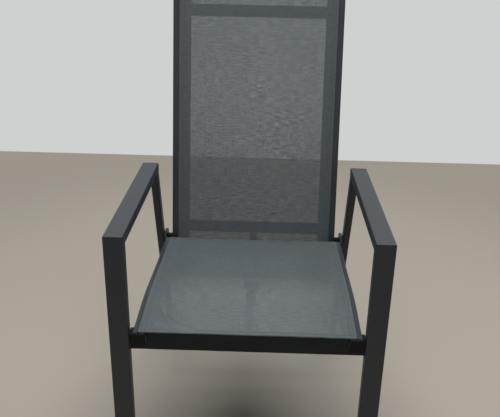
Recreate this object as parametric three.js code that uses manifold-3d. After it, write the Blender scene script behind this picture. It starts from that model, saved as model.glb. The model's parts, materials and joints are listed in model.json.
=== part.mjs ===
// High-backed sling armchair of powder-coated aluminium, with a back that reclines on a gas spring.
// Millimetres, +Z up. The sitter faces -Y, and +X is on the right of someone who looks at the chair.
import * as THREE from 'three';
import { mergeVertices } from 'three/addons/utils/BufferGeometryUtils.js';
import Module from 'manifold-3d';

const wasm = await Module();
wasm.setup();

// Clearances
const fit = 0.3;
const overrun = 2;
const runningClearance = 0.3;

// Side frames: front leg, flat armrest and raked rear leg
const chairWidth = 560;
const armHeight = 650;
const armWidth = 40;
const armThickness = 22;
const frameWall = 1.8;
const frameEdge = 2.5;
const rearLegWidth = 18;
const rearLegDepth = 28;
const rearLegRake = 19.2;
const rearLegAhead = 18.5;
const footThickness = 4;
const footPlugLength = 18;
const footEdge = 1.5;
const armPlateThickness = 2.5;
const armPlugLength = 14;

// Crossbars of the standing frame
const barWall = 1.5;
const barEdge = 0.8;
const frontBarSize = 19;
const frontBarGap = 4.5;
const frontBoltInset = 12;
const rearBarHeight = 26;
const rearBarDepth = 14;
const rearBarDrop = 116;

// Grooved rails, which hold the slings by their edges
const railWall = 1.8;
const railEdge = 2;
const slotWidth = 3;
const channelRadius = 4;
const channelLip = 1.6;
const railCapThickness = 4;
const railCapTongue = 12;
const frontCapThickness = 4.4;
const frontCapDrop = 5.5;
const frontCapNose = 4.2;

// Seat frame
const seatTop = 436;
const seatLength = 480;
const seatTilt = 0.95;
const seatCrown = 9;
const crownStart = 10;
const crownPeak = 150;
const crownEnd = 380;
const seatSideGap = 6.5;
const seatRailWidth = 26;
const seatRailHeight = 22;
const seatSlotInset = 11.5;
const seatBarDepth = 20;
const seatFrontBarHeight = 19;
const seatRearBarHeight = 14;
const seatRearBarInset = 35;
const spacerLength = 29;
const spacerInset = 1;
const spacerCorner = 6;
const seatBoltRadius = 3;
const seatBoltHeadRadius = 5.5;
const seatBoltHeadHeight = 3.6;
const seatBoltGrip = 8;
const rearBoltInset = 18;
const rearBoltRise = 6;

// Back frame, measured from its pivot, up along the rails
const pivotGap = 37.5;
const pivotRise = 10;
const pivotInset = 7.5;
const backRecline = 12.3;
const backSideGap = 20;
const backRailWidth = 26;
const backRailDepth = 22;
const backSlotInset = 16.5;
const backRise = 672;
const backTail = 120;
const backBarHeight = 30;
const backBarDepth = 15;
const backBarInset = 1;
const upperBarDrop = 59;
const lowerBarRise = 45;
const postWidth = 20;
const forkWidth = 42;
const forkPlate = 3;
const forkLobe = 11;
const forkLap = 23;
const forkPinTail = 136;
const forkReach = 21;

// Hinge of the back
const hingeLobe = 19;
const hingeBoltMargin = 10.5;
const hingeArmHeight = 24;
const hingeShoulder = 18;
const hingeCorner = 4;
const hingeBoltRadius = 4;
const hingeBoltHeadRadius = 6.5;
const hingeBoltHeadHeight = 4.5;
const hingeBushRadius = 7;

// Slings
const clothThickness = 1.2;
const kederRadius = 2.5;
const loopWall = 0.7;
const seatSag = 2;
const backSag = 2;
const seatClothInset = 0.8;
const backClothTail = 114;
const backClothTopInset = 5;

// Gas spring and its front bracket
const springSetback = 92;
const springRise = 6;
const springPinRadius = 4;
const springPinHeadRadius = 6;
const springPinHeadHeight = 2;
const bracketWidth = 42;
const bracketPlate = 3;
const bracketLobe = 10;
const bracketRise = 10;
const bracketDrop = 3;
const eyeWidth = 14;
const eyeRadius = 10;
const cylinderRadius = 11;
const cylinderNose = 12;
const rodShown = 89;
const cylinderChamfer = 2;
const rodRadius = 5;
const rodInsertion = 60;
const rodStroke = 80;
const sleeveRadius = 13.5;
const sleeveWall = 1.8;
const sleeveLap = 25;
const sleeveEnd = 3;
const headWidth = 30;
const headTail = 11;
const headNose = 34;
const headRise = 11;
const headDrop = 15;
const headCorner = 4;
const headSlotRadius = 5.5;
const headSlotDrop = 5.4;
const rodSeat = 9;
const leverThickness = 4;
const leverPivotAhead = 20;
const leverPivotDrop = 9;
const leverPivotRadius = 2;
const leverReach = 30;
const leverBreadth = 9;
const leverSlotAhead = 14;
const leverSlotRise = 3;

// Release paddle under the right armrest
const paddleSetback = 112;
const paddlePivotDrop = 9;
const paddleEarWidth = 24;
const paddleEarThickness = 1.6;
const paddleEarLobe = 6;
const paddlePlateLength = 40;
const paddlePlateThickness = 1.6;
const paddleTrunnionRadius = 2.5;
const paddleLength = 66;
const paddleThickness = 4;
const paddleRest = 8;
const paddleHub = 5;
const paddleTipRadius = 6;

// Counts of facets
const cornerSteps = 3;
const roundSteps = 16;
const turnSteps = 32;
const sagSteps = 8;
const crownSteps = 11;

// Sizes that follow from the driving ones. rearLegAt gives where the rear leg's axis stands at a height.
const halfWidth = chairWidth / 2;
const frameInside = halfWidth - armWidth;
const armUnderside = armHeight - armThickness;
const rake = THREE.MathUtils.degToRad(rearLegRake);
const rearLegRun = rearLegDepth / Math.cos(rake);
const seatOutside = frameInside - seatSideGap;
const seatInside = seatOutside - seatRailWidth;
const seatBottom = seatTop - seatRailHeight;
const tilt = THREE.MathUtils.degToRad(seatTilt);
const frontBarSetback = frontCapThickness + frontBarGap;
const frontBarTop = seatBottom - (frontBarSetback + frontBarSize) * Math.tan(tilt) - fit;
const pivotSetback = seatLength + pivotGap;
const pivotHeight = seatBottom - seatLength * Math.sin(tilt) + pivotRise;
const rearLegAt = (z) => pivotSetback - rearLegAhead + (pivotHeight - z) * Math.tan(rake);
const armLength = rearLegAt(armUnderside) + rearLegRun / 2;
const rearBarAltitude = pivotHeight - rearBarDrop;
const recline = THREE.MathUtils.degToRad(backRecline);
const backOutside = frameInside - backSideGap;
const backInside = backOutside - backRailWidth;
const backFront = pivotInset - backRailDepth;
const postTail = forkPinTail - forkReach;
const forkTop = postTail - forkLap;
const springHeight = frontBarTop - frontBarSize + springRise;
const springPinAlong = new THREE.Vector2(
  pivotSetback - springSetback - forkPinTail * Math.sin(recline),
  pivotHeight - springHeight - forkPinTail * Math.cos(recline),
);
const springSpan = springPinAlong.length();
const springDip = -springPinAlong.angle();
const headFront = springSpan - headNose;
const cylinderEnd = headFront - rodShown;

// Finishes
const coat = () => new THREE.MeshStandardMaterial({ color: 0x3a3f42, roughness: 0.55, metalness: 0.35 });
const darkPlastic = () => new THREE.MeshStandardMaterial({ color: 0x17181a, roughness: 0.6, metalness: 0 });
const mesh = () => new THREE.MeshStandardMaterial({ color: 0x62696c, roughness: 0.8, metalness: 0 });
const zinc = () => new THREE.MeshStandardMaterial({ color: 0x9da1a4, roughness: 0.35, metalness: 0.9 });
const chrome = () => new THREE.MeshStandardMaterial({ color: 0xc8cacc, roughness: 0.12, metalness: 1 });
const blackEnamel = () => new THREE.MeshStandardMaterial({ color: 0x1c1d1f, roughness: 0.4, metalness: 0.3 });

const quarter = Math.PI / 2;

// Points of an arc, both ends included
function arc(x, y, radius, from, to, steps) {
  const points = [];
  for (let step = 0; step <= steps; step += 1) {
    const angle = from + ((to - from) * step) / steps;
    points.push(new THREE.Vector2(x + radius * Math.cos(angle), y + radius * Math.sin(angle)));
  }
  return points;
}

function circle(x, y, radius, steps) {
  return arc(x, y, radius, 0, 2 * Math.PI, steps).slice(0, steps);
}

// Points of a rectangle with rounded corners, from its lowest to its highest corner
function roundedRectangle(x0, y0, x1, y1, radius, steps = cornerSteps) {
  return [
    ...arc(x1 - radius, y0 + radius, radius, -quarter, 0, steps),
    ...arc(x1 - radius, y1 - radius, radius, 0, quarter, steps),
    ...arc(x0 + radius, y1 - radius, radius, quarter, 2 * quarter, steps),
    ...arc(x0 + radius, y0 + radius, radius, 2 * quarter, 3 * quarter, steps),
  ];
}

function rectangle(x0, y0, x1, y1) {
  return [[x0, y0], [x1, y0], [x1, y1], [x0, y1]].map(([x, y]) => new THREE.Vector2(x, y));
}

// Extrudes an outline along +Z. The ends may be planes, given as functions of the outline's x and y.
// Extra rings of points stand at the heights between, so that the result can be curved.
function extrude(outline, from, to, holes = [], between = []) {
  const shape = new THREE.Shape(THREE.ShapeUtils.isClockWise(outline) ? [...outline].reverse() : outline);
  shape.holes = holes.map((points) => new THREE.Path(points));
  const steps = between.length + 1;
  const geometry = new THREE.ExtrudeGeometry(shape, { depth: 1, steps, bevelEnabled: false });
  const start = typeof from === 'function' ? from : () => from;
  const end = typeof to === 'function' ? to : () => to;
  const position = geometry.attributes.position;
  for (let i = 0; i < position.count; i += 1) {
    const x = position.getX(i);
    const y = position.getY(i);
    const heights = [start(x, y), ...between, end(x, y)];
    position.setZ(i, heights[Math.round(position.getZ(i) * steps)]);
  }
  return geometry;
}

const X = new THREE.Vector3(1, 0, 0);
const Y = new THREE.Vector3(0, 1, 0);
const Z = new THREE.Vector3(0, 0, 1);

// Lays an extrusion so that its outline's x and y run along two given directions
function lay(geometry, first, second) {
  const third = new THREE.Vector3().crossVectors(first, second);
  return geometry.applyMatrix4(new THREE.Matrix4().makeBasis(first, second, third));
}

const alongX = (geometry) => lay(geometry, Y, Z);
const alongMinusY = (geometry) => lay(geometry, X, Z);

function turned(profile, steps = turnSteps) {
  const points = profile.map(([radius, height]) => new THREE.Vector2(radius, height));
  return new THREE.LatheGeometry(points, steps);
}

function signedVolume(geometry) {
  const position = geometry.attributes.position;
  const index = geometry.index;
  const corners = [new THREE.Vector3(), new THREE.Vector3(), new THREE.Vector3()];
  let sum = 0;
  for (let i = 0; i < index.count; i += 3) {
    corners.forEach((corner, k) => corner.fromBufferAttribute(position, index.getX(i + k)));
    sum += corners[0].dot(corners[1].cross(corners[2]));
  }
  return sum / 6;
}

// Keeps only positions, merges shared vertices and points the faces outwards
function closed(source) {
  const geometry = source.clone();
  geometry.deleteAttribute('normal');
  geometry.deleteAttribute('uv');
  const merged = mergeVertices(geometry, 1e-4);
  const kept = [];
  for (let i = 0; i < merged.index.count; i += 3) {
    const [a, b, c] = [0, 1, 2].map((k) => merged.index.getX(i + k));
    if (a !== b && b !== c && c !== a) kept.push(a, b, c);
  }
  merged.setIndex(kept);
  if (signedVolume(merged) < 0) {
    for (let i = 0; i < kept.length; i += 3) [kept[i], kept[i + 1]] = [kept[i + 1], kept[i]];
    merged.setIndex(kept);
  }
  return merged;
}

function toManifold(source) {
  const geometry = closed(source);
  return new wasm.Manifold(new wasm.Mesh({
    numProp: 3,
    vertProperties: new Float32Array(geometry.attributes.position.array),
    triVerts: new Uint32Array(geometry.index.array),
  }));
}

function fromManifold(manifold) {
  const { vertProperties, triVerts } = manifold.getMesh();
  const geometry = new THREE.BufferGeometry();
  geometry.setAttribute('position', new THREE.BufferAttribute(new Float32Array(vertProperties), 3));
  geometry.setIndex(Array.from(triVerts));
  return geometry;
}

function join(first, ...others) {
  return fromManifold(others.reduce((sum, other) => sum.add(toManifold(other)), toManifold(first)));
}

function cut(first, ...others) {
  return fromManifold(others.reduce((sum, other) => sum.subtract(toManifold(other)), toManifold(first)));
}

function overlap(first, second) {
  return fromManifold(toManifold(first).intersect(toManifold(second)));
}

function piece(parent, name, geometry, material, at = [0, 0, 0]) {
  const solid = new THREE.Mesh(closed(geometry), material);
  solid.name = name;
  solid.position.set(...at);
  parent.add(solid);
  return solid;
}

// A cylinder along X, for pins, bolts and the holes that they go through
function rodAlongX(radius, x0, x1, y, z, steps = roundSteps) {
  return alongX(extrude(circle(y, z, radius, steps), x0, x1));
}

const sides = [{ name: 'left', sign: -1 }, { name: 'right', sign: 1 }];

// A hollow tube outline with its inner outline as a hole
function tube(x0, y0, x1, y1, wall, edge, from, to) {
  const inner = rectangle(x0 + wall, y0 + wall, x1 - wall, y1 - wall);
  return extrude(roundedRectangle(x0, y0, x1, y1, edge), from, to, [inner]);
}

function spanOf(sign, near, far) {
  return [Math.min(sign * near, sign * far), Math.max(sign * near, sign * far)];
}

// Front leg and armrest meet in a mitre that runs from the outer to the inner corner
function addFrontLeg(parent, { name, sign }) {
  const [x0, x1] = spanOf(sign, frameInside, halfWidth);
  const mitre = (x, y) => armHeight - y - fit;
  const leg = tube(x0, 0, x1, armThickness, frameWall, frameEdge, footThickness + fit, mitre);
  piece(parent, `${name}_front_leg`, leg, coat());
}

function addArmrest(parent, { name, sign }) {
  const [x0, x1] = spanOf(sign, frameInside, halfWidth);
  const end = armLength - armPlateThickness - fit;
  const mitre = (x, z) => -(armHeight - z);
  const arm = tube(x0, armUnderside, x1, armHeight, frameWall, frameEdge, -end, mitre);
  piece(parent, `${name}_armrest`, alongMinusY(arm), coat());
}

function addArmPlug(parent, { name, sign }) {
  const [x0, x1] = spanOf(sign, frameInside, halfWidth);
  const inset = frameWall + fit;
  const plateStart = armPlateThickness - armLength;
  const plate = extrude(roundedRectangle(x0, armUnderside, x1, armHeight, frameEdge), -armLength, plateStart);
  const body = rectangle(x0 + inset, armUnderside + inset, x1 - inset, armHeight - inset);
  const plug = extrude(body, plateStart - armPlateThickness / 2, plateStart + armPlugLength);
  piece(parent, `${name}_arm_plug`, alongMinusY(join(plate, plug)), darkPlastic());
}

// An outline that stands on the rear leg's axis, sheared along it between two heights
function raked(outline, low, high, holes = []) {
  const geometry = extrude(outline, low, high, holes);
  const shear = new THREE.Matrix4().makeShear(0, 0, 0, 0, 0, -Math.tan(rake));
  return geometry.applyMatrix4(shear).translate(0, rearLegAt(0), 0);
}

function addRearLeg(parent, { name, sign }) {
  const [x0, x1] = spanOf(sign, frameInside, frameInside + rearLegWidth);
  const half = rearLegRun / 2;
  const outline = roundedRectangle(x0, -half, x1, half, frameEdge);
  const wallRun = frameWall / Math.cos(rake);
  const inner = rectangle(x0 + frameWall, -half + wallRun, x1 - frameWall, half - wallRun);
  piece(parent, `${name}_rear_leg`, raked(outline, footThickness + fit, armUnderside - fit, [inner]), coat());
}

// A foot is a plastic sole with a plug that fills the tube's end
function addFrontFoot(parent, { name, sign }) {
  const [x0, x1] = spanOf(sign, frameInside, halfWidth);
  const inset = frameWall + fit;
  const sole = extrude(roundedRectangle(x0, 0, x1, armThickness, footEdge), 0, footThickness);
  const body = rectangle(x0 + inset, inset, x1 - inset, armThickness - inset);
  const plug = extrude(body, footThickness / 2, footThickness + footPlugLength);
  piece(parent, `${name}_front_foot`, join(sole, plug), darkPlastic());
}

function addRearFoot(parent, { name, sign }) {
  const [x0, x1] = spanOf(sign, frameInside, frameInside + rearLegWidth);
  const half = rearLegRun / 2;
  const inset = frameWall + fit;
  const insetRun = inset / Math.cos(rake);
  const sole = raked(roundedRectangle(x0, -half, x1, half, footEdge), 0, footThickness);
  const body = rectangle(x0 + inset, -half + insetRun, x1 - inset, half - insetRun);
  const plug = raked(body, footThickness / 2, footThickness + footPlugLength);
  piece(parent, `${name}_rear_foot`, join(sole, plug), darkPlastic());
}

// The front crossbar carries the seat rails on its top, each held by a bolt from below
const seatBoltAcross = seatOutside - seatSlotInset;
const seatBoltSetback = frontBarSetback + frontBoltInset;

function boltHoles(radius, low, high) {
  return sides.map(({ sign }) => (
    extrude(circle(sign * seatBoltAcross, seatBoltSetback, radius, roundSteps), low, high)
  ));
}

function addFrontBar(parent) {
  const y1 = frontBarSetback + frontBarSize;
  const low = frontBarTop - frontBarSize;
  const end = frameInside - fit;
  const bar = alongX(tube(frontBarSetback, low, y1, frontBarTop, barWall, barEdge, -end, end));
  const holes = boltHoles(seatBoltRadius + fit, low - overrun, frontBarTop + overrun);
  piece(parent, 'front_crossbar', cut(bar, ...holes), coat());
}

function addSeatBolt(parent, { name, sign }) {
  const under = frontBarTop - frontBarSize - fit;
  const bolt = turned([
    [0, under - seatBoltHeadHeight],
    [seatBoltHeadRadius, under - seatBoltHeadHeight],
    [seatBoltHeadRadius, under],
    [seatBoltRadius, under],
    [seatBoltRadius, seatBottom + seatBoltGrip],
    [0, seatBottom + seatBoltGrip],
  ], roundSteps);
  bolt.rotateX(quarter);
  piece(parent, `${name}_seat_front_bolt`, bolt, zinc(), [sign * seatBoltAcross, seatBoltSetback, 0]);
}

function addRearBar(parent) {
  const end = frameInside - fit;
  const [y, z] = [rearBarDepth / 2, rearBarHeight / 2];
  const bar = alongX(tube(-y, -z, y, z, barWall, barEdge, -end, end));
  bar.rotateX(rake);
  piece(parent, 'rear_crossbar', bar, coat(), [0, rearLegAt(rearBarAltitude), rearBarAltitude]);
}

// Seat rails and their parts lie in the seat's own tilted frame, with y back along the rail and z up
const rearBoltAlong = seatLength - rearBoltInset;

function onSeat(y, z) {
  const along = y * Math.cos(tilt) + z * Math.sin(tilt);
  return [along, seatBottom - y * Math.sin(tilt) + z * Math.cos(tilt)];
}

// The hinge plate joins the rear leg, the end of the seat rail and the pivot of the back
function addHingePlate(parent, { name, sign }) {
  const [x0, x1] = spanOf(sign, seatOutside + fit, frameInside - fit);
  const [boltY, boltZ] = onSeat(rearBoltAlong, rearBoltRise);
  const front = boltY - hingeBoltMargin;
  const low = pivotHeight - hingeLobe;
  const high = low + hingeArmHeight;
  const outline = [
    ...arc(pivotSetback, pivotHeight, hingeLobe, -quarter, quarter, roundSteps),
    new THREE.Vector2(pivotSetback - hingeShoulder, pivotHeight + hingeLobe),
    new THREE.Vector2(pivotSetback - hingeShoulder - hingeLobe, high),
    ...arc(front + hingeCorner, high - hingeCorner, hingeCorner, quarter, 2 * quarter, cornerSteps),
    ...arc(front + hingeCorner, low + hingeCorner, hingeCorner, 2 * quarter, 3 * quarter, cornerSteps),
  ];
  const holes = [
    circle(pivotSetback, pivotHeight, hingeBoltRadius + fit, roundSteps),
    circle(boltY, boltZ, seatBoltRadius + fit, roundSteps),
  ];
  piece(parent, `${name}_hinge_plate`, alongX(extrude(outline, x0, x1, holes)), coat());
}

function addHingeBolt(parent, { name, sign }) {
  const headFace = backInside - fit;
  const bolt = turned([
    [0, headFace - hingeBoltHeadHeight],
    [hingeBoltHeadRadius / 2, headFace - hingeBoltHeadHeight],
    [hingeBoltHeadRadius, headFace - hingeBoltHeadHeight / 3],
    [hingeBoltHeadRadius, headFace],
    [hingeBoltRadius, headFace],
    [hingeBoltRadius, frameInside - fit],
    [0, frameInside - fit],
  ], roundSteps);
  bolt.rotateZ(-sign * quarter);
  piece(parent, `${name}_hinge_bolt`, bolt, zinc(), [0, pivotSetback, pivotHeight]);
}

function addHingeBush(parent, { name, sign }) {
  const [x0, x1] = spanOf(sign, backOutside + fit, seatOutside);
  const outline = circle(pivotSetback, pivotHeight, hingeBushRadius, turnSteps);
  const bore = circle(pivotSetback, pivotHeight, hingeBoltRadius + runningClearance, roundSteps);
  piece(parent, `${name}_hinge_bush`, alongX(extrude(outline, x0, x1, [bore])), darkPlastic());
}

// Outline of a grooved rail: u runs inwards from its outer side, v up to the face with the slot.
// The slot opens into a round channel, and a chamber goes round the channel on its other sides.
function railSection(width, height, slotInset) {
  const halfSlot = slotWidth / 2;
  const throat = Math.sqrt(channelRadius ** 2 - halfSlot ** 2);
  const channel = height - channelLip - throat;
  const mouth = Math.asin(halfSlot / channelRadius);
  const from = quarter - mouth;
  const to = quarter + mouth - 2 * Math.PI;
  const edge = railEdge;
  const outline = [
    ...arc(width - edge, edge, edge, -quarter, 0, cornerSteps),
    ...arc(width - edge, height - edge, edge, 0, quarter, cornerSteps),
    new THREE.Vector2(slotInset + halfSlot, height),
    ...arc(slotInset, channel, channelRadius, from, to, roundSteps),
    new THREE.Vector2(slotInset - halfSlot, height),
    ...arc(edge, height - edge, edge, quarter, 2 * quarter, cornerSteps),
    ...arc(edge, edge, edge, 2 * quarter, 3 * quarter, cornerSteps),
  ];
  const near = slotInset - channelRadius - railWall;
  const far = slotInset + channelRadius + railWall;
  const floor = channel - channelRadius - railWall;
  const chamber = [
    [railWall, railWall],
    [width - railWall, railWall],
    [width - railWall, height - railWall],
    [far, height - railWall],
    [far, floor],
    [near, floor],
    [near, height - railWall],
    [railWall, height - railWall],
  ].map(([u, v]) => new THREE.Vector2(u, v));
  const inset = railWall + fit;
  const outerTongue = [inset, inset, near - fit, height - inset];
  const innerTongue = [far + fit, inset, width - inset, height - inset];
  const tongue = near > width - far ? outerTongue : innerTongue;
  return { outline, chamber, tongue, channel };
}

const seatSection = railSection(seatRailWidth, seatRailHeight, seatSlotInset);
const backSection = railSection(backRailWidth, backRailDepth, backSlotInset);

// The seat rails are straight at both ends and crowned between, highest under the thighs
function crownAt(y) {
  if (y <= crownStart || y >= crownEnd) return 0;
  const foot = y < crownPeak ? crownStart : crownEnd;
  const climb = (y - foot) / (crownPeak - foot);
  return (seatCrown * (1 - Math.cos(climb * 2 * quarter))) / 2;
}

const crownRings = Array.from({ length: crownSteps + 1 }, (_, i) => (
  -crownEnd + ((crownEnd - crownStart) * i) / crownSteps
));

function crowned(geometry) {
  const position = geometry.attributes.position;
  for (let i = 0; i < position.count; i += 1) {
    position.setZ(i, position.getZ(i) + crownAt(position.getY(i)));
  }
  return geometry;
}

// Maps a rail section to a side of the chair: u becomes x, and v becomes the outline's second axis
const seatMap = (sign) => (point) => new THREE.Vector2(sign * (seatOutside - point.x), point.y);
const backMap = (sign) => (point) => new THREE.Vector2(sign * (backOutside - point.x), pivotInset - point.y);

// A rail cap is a plate with the rail's outline and a tongue that fills its larger chamber.
// The plate may hang lower than the rail.
function railCap(section, width, height, map, from, plateEnd, tongueEnd, drop = 0) {
  const plateOutline = roundedRectangle(0, -drop, width, height, railEdge).map(map);
  const plate = extrude(plateOutline, Math.min(from, plateEnd), Math.max(from, plateEnd));
  const middle = (from + plateEnd) / 2;
  const tongueOutline = rectangle(...section.tongue).map(map);
  const tongue = extrude(tongueOutline, Math.min(middle, tongueEnd), Math.max(middle, tongueEnd));
  return join(plate, tongue);
}

function addSeatRail(seat, { name, sign }) {
  const map = seatMap(sign);
  const front = frontCapThickness + fit;
  const rear = seatLength - railCapThickness - fit;
  const outline = seatSection.outline.map(map);
  const rail = extrude(outline, -rear, -front, [seatSection.chamber.map(map)], crownRings);
  const [x0, x1] = spanOf(sign, seatInside - overrun, seatOutside + overrun);
  const rearHole = rodAlongX(seatBoltRadius + fit, x0, x1, rearBoltAlong, rearBoltRise);
  const wallTop = railWall + overrun;
  const frontHole = extrude(
    circle(sign * seatBoltAcross, seatBoltSetback, seatBoltRadius + 2 * fit, roundSteps),
    -overrun,
    wallTop,
  );
  piece(seat, `${name}_seat_rail`, cut(crowned(alongMinusY(rail)), rearHole, frontHole), coat());
}

function addSeatRailCaps(seat, { name, sign }) {
  const size = [seatSection, seatRailWidth, seatRailHeight, seatMap(sign)];
  const frontTongue = -frontCapThickness - railCapTongue;
  const front = alongMinusY(railCap(...size, 0, -frontCapThickness, frontTongue, frontCapDrop));
  const nose = alongX(extrude([
    new THREE.Vector2(0, -frontCapDrop - overrun),
    new THREE.Vector2(seatLength, -frontCapDrop - overrun),
    new THREE.Vector2(seatLength, seatRailHeight),
    ...arc(frontCapNose, seatRailHeight - frontCapNose, frontCapNose, quarter, 2 * quarter, roundSteps),
  ], -halfWidth, halfWidth));
  piece(seat, `${name}_seat_front_cap`, overlap(front, nose), darkPlastic());
  const rearPlate = railCapThickness - seatLength;
  const rear = railCap(...size, -seatLength, rearPlate, rearPlate + railCapTongue / 2);
  piece(seat, `${name}_seat_rear_cap`, alongMinusY(rear), darkPlastic());
}

function addSeatBars(seat) {
  const end = seatInside - fit;
  const front = frontBarSetback;
  const rear = seatLength - seatRearBarInset;
  const frontBar = tube(front, 0, front + seatBarDepth, seatFrontBarHeight, barWall, barEdge, -end, end);
  piece(seat, 'seat_front_crossbar', alongX(frontBar), coat());
  const low = backBarInset;
  const rearBar = tube(rear - seatBarDepth, low, rear, low + seatRearBarHeight, barWall, barEdge, -end, end);
  piece(seat, 'seat_rear_crossbar', alongX(rearBar), coat());
}

function addSeatRearBolt(seat, { name, sign }) {
  const headFace = seatInside - fit;
  const bolt = turned([
    [0, headFace - seatBoltHeadHeight],
    [seatBoltHeadRadius, headFace - seatBoltHeadHeight],
    [seatBoltHeadRadius, headFace],
    [seatBoltRadius, headFace],
    [seatBoltRadius, frameInside - fit],
    [0, frameInside - fit],
  ], roundSteps);
  bolt.rotateZ(-sign * quarter);
  piece(seat, `${name}_seat_rear_bolt`, bolt, zinc(), [0, rearBoltAlong, rearBoltRise]);
}

// A plastic spacer keeps each seat rail off its front leg, rounded where it shows from above
function addSeatSpacer(seat, { name, sign }) {
  const [x0, x1] = spanOf(sign, seatOutside + fit, frameInside - fit);
  const rear = spacerInset + spacerLength;
  const top = seatRailHeight - spacerInset;
  const outline = [
    new THREE.Vector2(spacerInset, spacerInset),
    new THREE.Vector2(rear, spacerInset),
    ...arc(rear - spacerCorner, top - spacerCorner, spacerCorner, 0, quarter, cornerSteps),
    new THREE.Vector2(spacerInset, top),
  ];
  piece(seat, `${name}_seat_spacer`, alongX(extrude(outline, x0, x1)), darkPlastic());
}

// Outline of a sling across its rails. x runs across, and height is above the slotted face.
// Each edge goes down through its slot and wraps the cord that holds it in the channel.
function slingSection(slotAt, railInside, channelDepth, sag) {
  const half = clothThickness / 2;
  const loop = kederRadius + fit + loopWall;
  const reach = Math.sqrt(loop ** 2 - half ** 2);
  const mouth = Math.asin(half / loop);
  const under = fit;
  const over = fit + clothThickness;
  const dip = (x) => -sag * (1 - (x / railInside) ** 2);
  const sheet = (height, from, to) => Array.from({ length: sagSteps + 1 }, (_, i) => {
    const x = from + ((to - from) * i) / sagSteps;
    return new THREE.Vector2(x, height + dip(x));
  });
  const edge = (sign) => [
    new THREE.Vector2(sign * slotAt, over),
    new THREE.Vector2(sign * (slotAt + half), over - half),
    new THREE.Vector2(sign * (slotAt + half), reach - channelDepth),
    ...arc(0, 0, loop, quarter - mouth, quarter + mouth - 2 * Math.PI, roundSteps)
      .slice(1, -1)
      .map(({ x, y }) => new THREE.Vector2(sign * (slotAt + x), y - channelDepth)),
    new THREE.Vector2(sign * (slotAt - half), reach - channelDepth),
    new THREE.Vector2(sign * (slotAt - half), under),
  ];
  const outline = [
    ...sheet(over, -railInside, railInside),
    ...edge(1),
    ...sheet(under, railInside, -railInside),
    ...edge(-1).reverse(),
  ];
  const holes = sides.map(({ sign }) => circle(sign * slotAt, -channelDepth, kederRadius + fit, roundSteps));
  return { outline, holes };
}

function addSeatSling(seat) {
  const slotAt = seatOutside - seatSlotInset;
  const depth = seatRailHeight - seatSection.channel;
  const { outline, holes } = slingSection(slotAt, seatInside, depth, seatSag);
  const front = frontCapThickness + fit + seatClothInset;
  const rear = seatLength - railCapThickness - fit - seatClothInset;
  const sling = crowned(alongMinusY(extrude(outline, -rear, -front, holes, crownRings)));
  piece(seat, 'seat_sling', sling, mesh(), [0, 0, seatRailHeight]);
  sides.forEach(({ name, sign }) => {
    const cord = circle(sign * slotAt, -depth, kederRadius, roundSteps);
    const keder = crowned(alongMinusY(extrude(cord, -rear, -front, [], crownRings)));
    piece(seat, `${name}_seat_keder`, keder, darkPlastic(), [0, 0, seatRailHeight]);
  });
}

// The back's frame has its origin on the pivot, y back through the rails and z up along them
function addBackRail(back, { name, sign }) {
  const map = backMap(sign);
  const low = -backTail + railCapThickness + fit;
  const high = backRise - railCapThickness - fit;
  const rail = extrude(backSection.outline.map(map), low, high, [backSection.chamber.map(map)]);
  const [x0, x1] = spanOf(sign, backInside - overrun, backOutside + overrun);
  const hole = rodAlongX(hingeBoltRadius + runningClearance, x0, x1, 0, 0);
  piece(back, `${name}_back_rail`, cut(rail, hole), coat());
}

function addBackRailCaps(back, { name, sign }) {
  const size = [backSection, backRailWidth, backRailDepth, backMap(sign)];
  const topPlate = backRise - railCapThickness;
  const top = railCap(...size, backRise, topPlate, topPlate - railCapTongue);
  piece(back, `${name}_back_top_cap`, top, darkPlastic());
  const lowPlate = railCapThickness - backTail;
  const low = railCap(...size, -backTail, lowPlate, lowPlate + railCapTongue);
  piece(back, `${name}_back_bottom_cap`, low, darkPlastic());
}

const backBarRear = pivotInset - backBarInset;
const backBarFront = backBarRear - backBarDepth;

function addBackBars(back) {
  const end = backInside - fit;
  [['back_upper_crossbar', backRise - upperBarDrop], ['back_lower_crossbar', lowerBarRise]].forEach(([name, rise]) => {
    const low = rise - backBarHeight;
    const bar = tube(backBarFront, low, backBarRear, rise, barWall, barEdge, -end, end);
    piece(back, name, alongX(bar), coat());
  });
}

// A lever post goes down from the lower crossbar to the fork that the gas spring pushes on
function addLeverPost(back) {
  const half = postWidth / 2;
  const high = lowerBarRise - backBarHeight - fit;
  const post = tube(-half, backBarFront, half, backBarRear, barWall, barEdge, -postTail, high);
  piece(back, 'lever_post', post, coat());
}

function addFork(back) {
  const half = forkWidth / 2;
  const rear = backBarRear + fit + forkPlate;
  const lobe = arc(0, -forkPinTail, forkLobe, -2 * quarter, 0, roundSteps);
  const side = [
    ...lobe,
    new THREE.Vector2(rear, -postTail),
    new THREE.Vector2(rear, -forkTop),
    new THREE.Vector2(backBarFront, -forkTop),
    new THREE.Vector2(backBarFront, -postTail),
  ];
  const hole = circle(0, -forkPinTail, springPinRadius + fit, roundSteps);
  const plates = [[-half, forkPlate - half], [half - forkPlate, half]].map(([x0, x1]) => (
    alongX(extrude(side, x0, x1, [hole]))
  ));
  const inside = half - forkPlate / 2;
  const web = alongX(extrude(rectangle(backBarRear + fit, -postTail, rear, -forkTop), -inside, inside));
  piece(back, 'lever_fork', join(web, ...plates), coat());
}

// A headed pin across a fork or bracket of the given width
function crossPin(width) {
  const end = width / 2 + fit;
  return turned([
    [0, -end - springPinHeadHeight],
    [springPinHeadRadius, -end - springPinHeadHeight],
    [springPinHeadRadius, -end],
    [springPinRadius, -end],
    [springPinRadius, end],
    [springPinHeadRadius, end],
    [springPinHeadRadius, end + springPinHeadHeight],
    [0, end + springPinHeadHeight],
  ], roundSteps).rotateZ(-quarter);
}

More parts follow.
